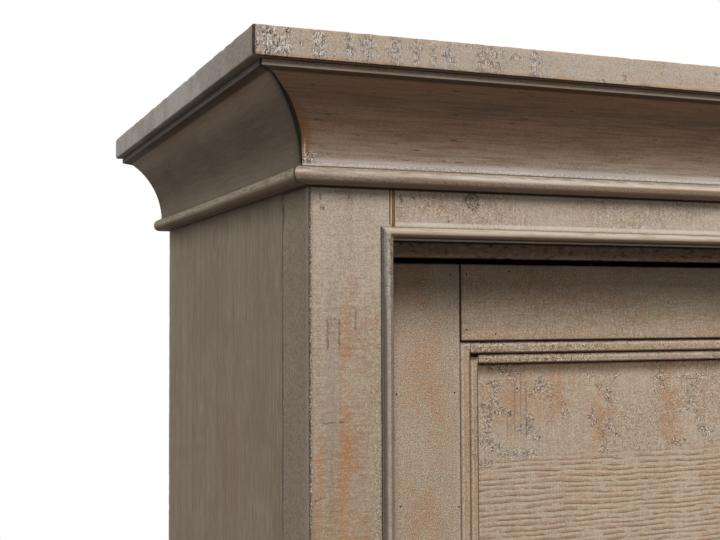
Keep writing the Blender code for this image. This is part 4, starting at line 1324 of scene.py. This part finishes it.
class CHEST_OT_carcass(bpy.types.Operator):
    """Finish the boards inside the case and its back"""

    bl_idname = "chest.carcass"
    bl_label = "Inside boards"

    def execute(self, context):
        for node in ("cupboard_floor", "drawer_divider", "bottom_board", "shelf"):
            bare_board(node, ACROSS)
        self.back(bare_wood("back_panel_pine", UP))
        return {"FINISHED"}

    def back(self, wood):
        """The back: upright boards with a V-shaped groove where each meets the next."""
        low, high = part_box("back_panel")
        across = wood.split(wood.place)[ACROSS]
        shape = merged("back_panel")
        pitch = (high.x - low.x) / BACK_BOARDS
        for joint in (low.x + pitch * index for index in range(1, BACK_BOARDS)):
            for place in (joint - BACK_GROOVE, joint, joint + BACK_GROOVE):
                cut(shape, (place, 0, 0), (1, 0, 0))
            for vert in shape.verts:
                if abs(vert.co.x - joint) < WELD:
                    vert.co.y += BACK_GROOVE if vert.co.y < (low.y + high.y) / 2 else -BACK_GROOVE
            wood.lay(
                0.7 * wood.line(across - joint, BACK_GROOVE * 0.6),
                bpy.context.scene.chest_finish.umber_and_shade,
            )
        rub(shape, BACK_GROOVE / 2, Vector(shift_of("back_panel")))
        finished("back_panel", shape, [wood.close()])


class CHEST_OT_base(bpy.types.Operator):
    """Make the base boards with their arches"""

    bl_idname = "chest.base"
    bl_label = "Base"

    def execute(self, context):
        colours = context.scene.chest_finish
        for node, grain in (("base_front", ACROSS), ("base_left", DEEP), ("base_right", DEEP)):
            wood = Pine(
                node + "_pine", grain, colours.glaze if grain == ACROSS else colours.side_glaze
            )
            wood.glaze(flecks=0.45, bands=0.35, ticks=0.25, sawn=0.4)
            wood.lay(wood.fade(abs(mitre_distance(wood)), 0.0005, 0.0012), colours.umber_and_shade)
            wood.darken(0.6 * wood.fade(wood.z + 0.02 * (wood.broad - 0.5), 0.0, 0.022), 0.4)
            aged_copy(node, wood, (grain,), context.scene.chest_wear.spacing, 0.6)
        return {"FINISHED"}


def oval(wood, across, up, half_width, half_height):
    """How far out a point is in an oval on an upright face: 0 in its middle, 1 on its rim."""
    return wood.length((wood.x - across) * (1 / half_width), (wood.z - up) * (1 / half_height))


def inset(wood, low, high):
    """How far inside a box a point is, from its sides and from its top and bottom."""
    beside = (high.x - low.x) / 2 - abs(wood.x - (low.x + high.x) / 2)
    above = (high.z - low.z) / 2 - abs(wood.z - (low.z + high.z) / 2)
    return beside, above


def painted_head_shade(wood, head, depth=0.96):
    """Painted shade on a recessed front, darkest under the head of its opening."""
    uneven = 0.008 * (wood.cloud - 0.5)
    wood.darken(depth * wood.ramp(wood.z + uneven, head - 0.066, head - 0.012), 0.085)


class CHEST_OT_doors(bpy.types.Operator):
    """Make the doors' stiles, rails and panels"""

    bl_idname = "chest.doors"
    bl_label = "Doors"

    def execute(self, context):
        for door in ("left_door", "right_door"):
            stiles = [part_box(f"{door}_{which}_stile") for which in ("hinge", "meeting")]
            inner = sorted(corner.x for pair in stiles for corner in pair)[1:3]
            head = stiles[0][1].z
            for which in ("hinge", "meeting"):
                self.stile(context, f"{door}_{which}_stile", head)
            for which in ("top", "bottom"):
                self.rail(context, f"{door}_{which}_rail", inner, head)
            self.panel(context, door)
        return {"FINISHED"}

    def stile(self, context, node, head):
        """A stile: orange patches down its middle, dots and dashes, dark beside the opening."""
        colours = context.scene.chest_finish
        low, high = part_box(node)
        wood = Pine(node + "_pine", UP, colours.door_glaze)
        wood.glaze(flecks=0.2, bands=0.06, ticks=0.0, sawn=0.5, mottle=0.44, fibres=0.2)
        middle = (low.x + high.x) / 2
        rubbed = wood.fade(abs(wood.x - middle) + 0.04 * (wood.broad - 0.5), 0.008, 0.032)
        soft = wood.ramp(wood.broad * 0.5 + wood.cloud * 0.3 + wood.saw * 0.2, 0.45, 0.54)
        patch = rubbed * soft
        wood.lay(0.3 * patch, colours.rubbed_pine)
        wood.ticked(0.3 + 0.7 * patch, 0.42 + 0.16 * patch)
        dots = wood.speck * 0.55 + wood.saw * 0.45
        wood.lay(0.7 * wood.fade(dots, 0.42, 0.47), STILE_DOT)
        wood.lay(
            0.62 * wood.ramp(wood.speck * 0.55 + wood.fine * 0.45, 0.53, 0.58),
            shade(colours.chalk_and_highlight, 0.95),
        )
        wood.darken(0.75 * wood.fade(OPENING - abs(wood.x), 0.0025, 0.015), 0.45)
        wood.wear(low, high, 0.1, 0.0018, 0.95, DOOR_SEAM)
        # painted shade under the head of the door's opening
        painted_head_shade(wood, head)
        self.board(node, wood, UP, low, high)

    def board(self, node, wood, grain, low, high):
        """One board of a door's frame."""
        aged_board(
            node, wood, grain, DOOR_STEPS, low, high, arris_share=0.7, holes=HOLES.get(node, ())
        )

    def rail(self, context, node, inner, head):
        """A rail, its tenons left inside the stiles."""
        colours = context.scene.chest_finish
        low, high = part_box(node)
        low.x, high.x = inner
        wood = Pine(node + "_pine", ACROSS, shade(colours.door_glaze, 1.02))
        wood.glaze(flecks=0.22, bands=0.1, ticks=0.35, sawn=0.4, mottle=0.4, fibres=0.35)
        wood.wear(low, high, 0.1, 0.0018, 0.95, DOOR_SEAM)
        # painted shade under the head of the door's opening
        painted_head_shade(wood, head)
        self.board(node, wood, ACROSS, low, high)

    def panel(self, context, door):
        """The panel: upright grain, rubbed patches, wandering cuts and bands of cross ripples."""
        colours = context.scene.chest_finish
        node = f"{door}_panel"
        low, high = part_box(f"{door}_moulding")
        wood = Pine(node + "_pine", UP, PANEL_GLAZE)
        fall = high.z - wood.z
        rippled = self.rippled(wood, fall)
        wood.glaze(
            flecks=0.32 - 0.2 * rippled, bands=0.18, ticks=0.3, sawn=0.6, mottle=0.38, fibres=0.25
        )
        blot = wood.drawn((1, 1, 0.55), 30, 4, 0.62)
        soft = wood.ramp(blot * 0.7 + wood.saw * 0.3, 0.51, 0.6)
        if door == "left_door":
            near = oval(wood, *PANEL_RUB) + 1.4 * (wood.broad - 0.5) + 1.4 * (wood.saw - 0.5)
            soft = wood.most(soft, wood.fade(near, 0.1, 1.5))
        wood.lay(0.38 * soft * (1 - rippled), colours.rubbed_pine)
        scrawl = wood.ramp(wood.noise(wood.place, 46, 3, 0.6), 0.54, 0.64) * (1 - rippled)
        if door == "left_door":
            for group in PANEL_CUTS:
                near = oval(wood, *group) + 1.2 * (wood.grit - 0.5)
                scrawl = wood.most(scrawl, wood.fade(near, 0.5, 1.0))
        wood.scrawled(0.9 * scrawl)
        wood.lay(0.55 * scrawl * wood.fade(wood.speck, 0.36, 0.46), PANEL_FLECK)
        self.ripples(wood, rippled)
        if door == "left_door":
            for start, end, width in PANEL_CRACKS:
                wood.scratch(start, end, width, PANEL_CRACK, 0.75)
        inward = wood.least(*inset(wood, low, high)) - MOULDING_WIDTH
        front = wood.fade(wood.y - PANEL_FACE, 0.002, 0.004)
        wood.lay(0.9 * front * wood.fade(inward, 0.0006, 0.0014), SEAM_AND_SHADOW_BROWN)
        # Glaze and painted shadow: darker under the head of the moulding
        under = fall - MOULDING_WIDTH
        wood.darken(
            0.92 * front * wood.fade(under + 0.004 * (wood.saw - 0.5), 0.0035, 0.0125), 0.25
        )
        aged_board(node, wood, UP, DOOR_STEPS, relief=1.6, holes=HOLES.get(node, ()))

    def rippled(self, wood, fall):
        """Where the panel was planed across: a band below the head, and others further down."""
        ragged = fall + 0.01 * (wood.broad - 0.5)
        first = wood.between(ragged, 0.083, 0.215, 0.012)
        others = wood.ramp(wood.drawn((0.35, 1, 1), 9, 2, 0.5), 0.52, 0.6)
        return wood.most(first, others * wood.ramp(ragged, 0.2, 0.24) * 0.8)

    def ripples(self, wood, rippled):
        """Fine cross ripples: tan crests, brown hollows under them and pale slopes between."""
        wander = wood.drawn((0.3, 1, 1), 90)
        slant = wood.drawn((0.3, 1, 1), 16, 2, 0.5)
        wave = wood.z * RIPPLES + wander * 8 + slant * 12
        crest, hollow = wood.math("SINE", wave, 0), wood.math("SINE", wave + 1.7, 0)
        lens = wood.drawn((0.34, 1, 1), 190)
        broken = rippled * wood.ramp(lens, 0.38, 0.56)
        wood.lay(0.45 * rippled * wood.ramp(crest * -1, 0.1, 0.9), RIPPLE_PALE)
        wood.lay(0.64 * broken * wood.ramp(crest, 0.15, 0.95), RIPPLE_CREST)
        wood.lay(0.74 * broken * wood.ramp(hollow, 0.8, 0.98), RIPPLE_HOLLOW)
        wood.height = wood.height + broken * crest * 0.24


class CHEST_OT_mouldings(bpy.types.Operator):
    """Make the stepped mouldings round the door panels: two bands of strips, butted together"""

    bl_idname = "chest.mouldings"
    bl_label = "Door mouldings"

    def execute(self, context):
        for door in ("left_door", "right_door"):
            self.moulding(context, f"{door}_moulding")
        return {"FINISHED"}

    def moulding(self, context, node):
        wear = context.scene.chest_wear
        low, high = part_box(node)
        shape = bmesh.new()
        outer = (low, high, OUTER_BAND, 0)
        forward = Vector((OUTER_BAND, MOULDING_STEP, OUTER_BAND))
        inner = (
            low + forward, high - Vector((OUTER_BAND, 0, OUTER_BAND)), INNER_BAND, INNER_BAND_STOP
        )
        for first, last, width, stop in (outer, inner):
            for side in (first.x, last.x - width):
                start = (side, first.y, first.z + stop)
                self.strip(shape, wear, start, (side + width, last.y, last.z - stop), UP)
            left, right = first.x + width + SEAM, last.x - width - SEAM
            for foot in (first.z, last.z - width):
                start = (left, first.y, foot)
                self.strip(shape, wear, start, (right, last.y, foot + width), ACROSS)
        wood = self.finish(context.scene.chest_finish, node, low, high)
        finished(node, shape, [wood.close()])

    def strip(self, shape, wear, first, last, run):
        """One strip of a band."""
        low, high = Vector(first), Vector(last)
        part = box_shape(low, high, wear.arris * 0.45)
        rule(part, run, wear.spacing)
        weather(part, low, high, wear, run, Vector(shift_of("strip")) + low, 0.3, 0.5)
        add_part(shape, part)

    def finish(self, colours, node, low, high):
        """Brown seams between the bands, darker on level strips as painted shadow, pale rims, and
        painted shade in each notch.
        """
        wood = Pine(node + "_pine", UP, colours.door_glaze)
        beside, above = inset(wood, low, high)
        level = wood.ramp(beside - above, 0, 0.001)
        wood.glaze(
            flecks=0.4 + 0.6 * level, bands=0.3, ticks=0.25, sawn=0.3, mottle=0.44, fibres=0.2
        )
        outside = wood.least(beside, above)
        wood.lay(
            0.22 * wood.ramp(wood.speck * 0.5 + wood.broad * 0.5, 0.49, 0.56),
            shade(colours.rubbed_pine, 0.9),
        )
        for rim in (0.0026, OUTER_BAND + 0.003):
            wood.mark(outside - rim, 0.0012, wood.ramp(wood.grit, 0.4, 0.54), 0.5, colours.chalk_and_highlight)
        # Glaze in the seams; the extra darkness on the level strips is painted shadow under the
        # steps
        wood.lay((0.5 + 0.35 * level) * wood.fade(outside, 0.0008, 0.0018), SEAM_AND_SHADOW_BROWN)
        wood.mark(outside - OUTER_BAND, 0.0018, 1, 0.8 + 0.17 * level, SEAM_AND_SHADOW_BROWN)
        wood.lay(
            0.9 * wood.ramp(outside, MOULDING_WIDTH - 0.0016, MOULDING_WIDTH - 0.0006), SEAM_AND_SHADOW_BROWN
        )
        # Painted shade in the gap where an inner strip stops
        notch = wood.line(beside - OUTER_BAND - INNER_BAND / 2, INNER_BAND * 0.7)
        wood.lay(
            0.85 * (notch * wood.line(above - OUTER_BAND - INNER_BAND_STOP, 0.0032)), colours.umber_and_shade
        )
        return wood


class CHEST_OT_drawers(bpy.types.Operator):
    """Finish the drawers: glazed fronts on bare dovetailed boxes"""

    bl_idname = "chest.drawers"
    bl_label = "Drawers"

    def execute(self, context):
        colours = context.scene.chest_finish
        for drawer in ("upper_drawer", "lower_drawer"):
            node = drawer + "_front"
            low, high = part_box(node)
            wood = Pine(node + "_pine", ACROSS, colours.door_glaze)
            wood.glaze(flecks=0.5, bands=0.35, ticks=0.45, sawn=0.6)
            wood.wear(low, high, 0.3, 0.0025, 0.4)
            inside = wood.ramp(wood.y - low.y, 0.004, 0.006)
            wood.lay(inside * 0.8, colours.bare_pine)
            # painted shade under the head of the drawer's opening, weaker than on the doors
            painted_head_shade(wood, high.z, 0.55)
            aged_copy(node, wood, (ACROSS, UP), DRAWER_STEP, 0.6)
            for which, grain in (
                ("left_side", DEEP), ("right_side", DEEP), ("back", ACROSS), ("bottom", ACROSS)
            ):
                bare_board(f"{drawer}_{which}", grain)
        return {"FINISHED"}


class CHEST_OT_fittings(bpy.types.Operator):
    """Make the turned iron knobs, and the hinges with their screws"""

    bl_idname = "chest.fittings"
    bl_label = "Knobs and hinges"

    def execute(self, context):
        for node in sorted(frame["nodes"]):
            if node.endswith("knob"):
                self.knob(node)
            elif node.endswith("leaf"):
                self.leaf(node)
        return {"FINISHED"}

    def knob(self, node):
        """A turned knob: a profile spun about its axis, then hammered a little."""
        low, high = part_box(node)
        middle = (low + high) / 2
        shape = bmesh.new()
        points = [shape.verts.new((radius, -out, 0)) for radius, out in KNOB_PROFILE]
        lines = [shape.edges.new(pair) for pair in zip(points, points[1:])]
        bmesh.ops.spin(
            shape, geom=points + lines, cent=(0, 0, 0), axis=(0, 1, 0), dvec=(0, 0, 0),
            angle=2 * pi, steps=KNOB_STEPS, use_merge=True,
        )
        bmesh.ops.remove_doubles(shape, verts=shape.verts, dist=WELD)
        bmesh.ops.recalc_face_normals(shape, faces=shape.faces)
        bmesh.ops.translate(shape, vec=(middle.x, high.y, middle.z), verts=shape.verts)
        shape.normal_update()
        moves = [
            (vert, -vert.normal * HAMMERED * max(0, noise.noise(vert.co * HAMMER_MARKS)))
            for vert in shape.verts
        ]
        for vert, move in moves:
            vert.co += move
        finished(node, shape, [aged_iron(node + "_iron").close()])

    def leaf(self, node):
        """A hinge leaf with its knuckles, and the slotted screws in its plate."""
        low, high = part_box(node)
        shape = merged(node)
        side = 1 if high.x > 0 else -1
        outer = OPENING - HINGE_CLEARANCE - HINGE_LEAF
        face, out = (outer, -1) if node.endswith("case_leaf") else (outer - HINGE_CLEARANCE, 1)
        middle = (low.z + high.z) / 2
        for across, up in SCREWS:
            for half in (-1, 1):
                head = self.screw_half(half)
                bmesh.ops.rotate(
                    head, matrix=Matrix.Rotation(SCREW_TURN + up * 90, 3, "Z"), verts=head.verts
                )
                bmesh.ops.rotate(
                    head, matrix=Matrix.Rotation(side * out * pi / 2, 3, "Y"), verts=head.verts
                )
                bmesh.ops.translate(
                    head, vec=(side * face, DOOR_FACE + across, middle + up), verts=head.verts
                )
                add_part(shape, head)
        finished(node, shape, [aged_iron(node + "_iron").close()])

    def screw_half(self, half):
        """One side of a flat screw head, beside its slot."""
        head = bmesh.new()
        bmesh.ops.create_cone(
            head, cap_ends=True, segments=SCREW_SIDES, radius1=SCREW_RADIUS,
            radius2=SCREW_RADIUS * SCREW_TAPER, depth=SCREW_RISE * 2,
        )
        cut(head, (0, half * SCREW_SLOT / 2, 0), (0, -half, 0), True)
        bmesh.ops.holes_fill(head, edges=[edge for edge in head.edges if edge.is_boundary])
        bmesh.ops.recalc_face_normals(head, faces=head.faces)
        return head


class CHEST_OT_stage(bpy.types.Operator):
    """Make the floor, the lights, the world and the camera"""

    bl_idname = "chest.stage"
    bl_label = "Stage"

    def execute(self, context):
        settings = context.scene.chest_stage
        self.floor(context, settings)
        self.world(context, settings)
        self.lamp(context, "key", settings.key, *KEY_LAMP)
        self.lamp(context, "side", settings.side, *SIDE_LAMP)
        self.camera(context)
        context.scene.view_settings.view_transform = "Standard"
        return {"FINISHED"}

    def floor(self, context, settings):
        """A wide floor that keeps the chest's shadow, and fades to white further out."""
        shape = bmesh.new()
        bmesh.ops.create_circle(shape, cap_ends=True, segments=FLOOR_SIDES, radius=FLOOR_RADIUS)
        mesh = bpy.data.meshes.new("floor")
        shape.to_mesh(mesh)
        shape.free()
        floor = bpy.data.objects.new("floor", mesh)
        context.scene.collection.objects.link(floor)
        stuff = Finish("studio_floor", 0.85)
        mottle = stuff.noise(stuff.place, 30, 2)
        stuff.colour = stuff.tint(mottle, shade(settings.floor, 0.985), tuple(settings.floor))
        mesh.materials.append(stuff.close())
        reach = stuff.node("VectorMath", {0: stuff.place}, output=1, operation="LENGTH")
        white = stuff.node("Emission", {"Color": WHITE, "Strength": 1.0})
        dim = stuff.node("BsdfDiffuse", {"Color": FLOOR_BOUNCE})
        pale = Wire(stuff, stuff.shader.outputs[0])
        faded = stuff.node("MixShader", {0: stuff.ramp(reach, *FLOOR_FADE), 1: pale, 2: white})
        mixed = stuff.node("MixShader", {0: self.seen(stuff), 1: dim, 2: faded})
        stuff.join(stuff.nodes["Material Output"], {"Surface": mixed})

    def world(self, context, settings):
        """Even light from all round, and white behind the chest."""
        world = bpy.data.worlds.new("studio")
        context.scene.world = world
        sky = Tree(world)
        height = sky.split(sky.node("TexCoord", output="Generated"))[UP]
        above, below, white = (
            sky.node("Background", {"Color": WHITE, "Strength": strength})
            for strength in (settings.fill, settings.under, 1.0)
        )
        even = sky.node("MixShader", {0: sky.ramp(height, -HORIZON, HORIZON), 1: below, 2: above})
        mixed = sky.node("MixShader", {0: self.seen(sky), 1: even, 2: white})
        sky.join(sky.nodes["World Output"], {"Surface": mixed})

    def seen(self, tree):
        """1 for what the camera, glossy surfaces and glass see, 0 for light that spreads."""
        camera, glossy, through = (
            tree.node("LightPath", output=f"Is {ray} Ray")
            for ray in ("Camera", "Glossy", "Transmission")
        )
        return tree.most(camera, tree.most(glossy, through))

    def lamp(self, context, name, power, size, turn, rise, distance):
        """A round soft lamp, aimed at the upper part of the chest."""
        lamp = bpy.data.lights.new(name, "AREA")
        lamp.shape = "DISK"
        lamp.size = size
        lamp.energy = power
        made = bpy.data.objects.new(name, lamp)
        context.scene.collection.objects.link(made)
        towards = Vector((sin(turn) * cos(rise), -cos(turn) * cos(rise), sin(rise)))
        made.location = Vector(LAMP_AIM) + towards * distance
        made.rotation_mode = "QUATERNION"
        made.rotation_quaternion = towards.to_track_quat("Z", "Y")

    def camera(self, context):
        """The photograph's view: close to the upper left corner, from a little below the slab."""
        lens = bpy.data.cameras.new("camera")
        lens.sensor_width = SENSOR
        lens.lens = LENS
        lens.clip_start = CLIP_START
        camera = bpy.data.objects.new("camera", lens)
        context.scene.collection.objects.link(camera)
        yaw, pitch, roll = CAMERA_YAW, CAMERA_PITCH, CAMERA_ROLL
        forward = Vector((sin(yaw) * cos(pitch), cos(yaw) * cos(pitch), sin(pitch)))
        level = Vector((cos(yaw), -sin(yaw), 0))
        upright = level.cross(forward)
        right = cos(roll) * level + sin(roll) * upright
        up = cos(roll) * upright - sin(roll) * level
        turned = Matrix((right, up, -forward)).transposed()
        camera.rotation_mode = "QUATERNION"
        camera.rotation_quaternion = turned.to_quaternion()
        camera.location = CAMERA_PLACE
        context.scene.camera = camera


PIECES = (
    CHEST_OT_slab, CHEST_OT_cornice, CHEST_OT_posts, CHEST_OT_sides, CHEST_OT_rails, CHEST_OT_beads,
    CHEST_OT_carcass, CHEST_OT_base, CHEST_OT_doors, CHEST_OT_mouldings, CHEST_OT_drawers,
    CHEST_OT_fittings, CHEST_OT_stage,
)


class CHEST_PT_panel(bpy.types.Panel):
    """Lists the chest's pieces and settings"""

    bl_idname = "CHEST_PT_panel"
    bl_label = "Door chest"
    bl_space_type = "VIEW_3D"
    bl_region_type = "UI"
    bl_category = "Door chest"

    def draw(self, context):
        for piece in PIECES:
            self.layout.operator(piece.bl_idname)
        for settings in (
            context.scene.chest_wear, context.scene.chest_finish, context.scene.chest_stage
        ):
            box = self.layout.box()
            for name in settings.__annotations__:
                box.prop(settings, name)


GROUPS = (
    ("chest_wear", WearSettings), ("chest_finish", FinishSettings), ("chest_stage", StageSettings)
)


def register():
    for name, group in GROUPS:
        bpy.utils.register_class(group)
        setattr(bpy.types.Scene, name, PointerProperty(type=group))
    for piece in PIECES:
        bpy.utils.register_class(piece)
    bpy.utils.register_class(CHEST_PT_panel)


def unregister():
    bpy.utils.unregister_class(CHEST_PT_panel)
    for piece in reversed(PIECES):
        bpy.utils.unregister_class(piece)
    for name, group in reversed(GROUPS):
        delattr(bpy.types.Scene, name)
        bpy.utils.unregister_class(group)


def main():
    register()
    plain("pit_umber", bpy.context.scene.chest_finish.umber_and_shade, 0.9)
    bpy.ops.chest.slab()
    bpy.ops.chest.cornice()
    bpy.ops.chest.posts()
    bpy.ops.chest.sides()
    bpy.ops.chest.rails()
    bpy.ops.chest.beads()
    bpy.ops.chest.carcass()
    bpy.ops.chest.base()
    bpy.ops.chest.doors()
    bpy.ops.chest.mouldings()
    bpy.ops.chest.drawers()
    bpy.ops.chest.fittings()
    bpy.ops.chest.stage()


if __name__ == "__main__":
    main()
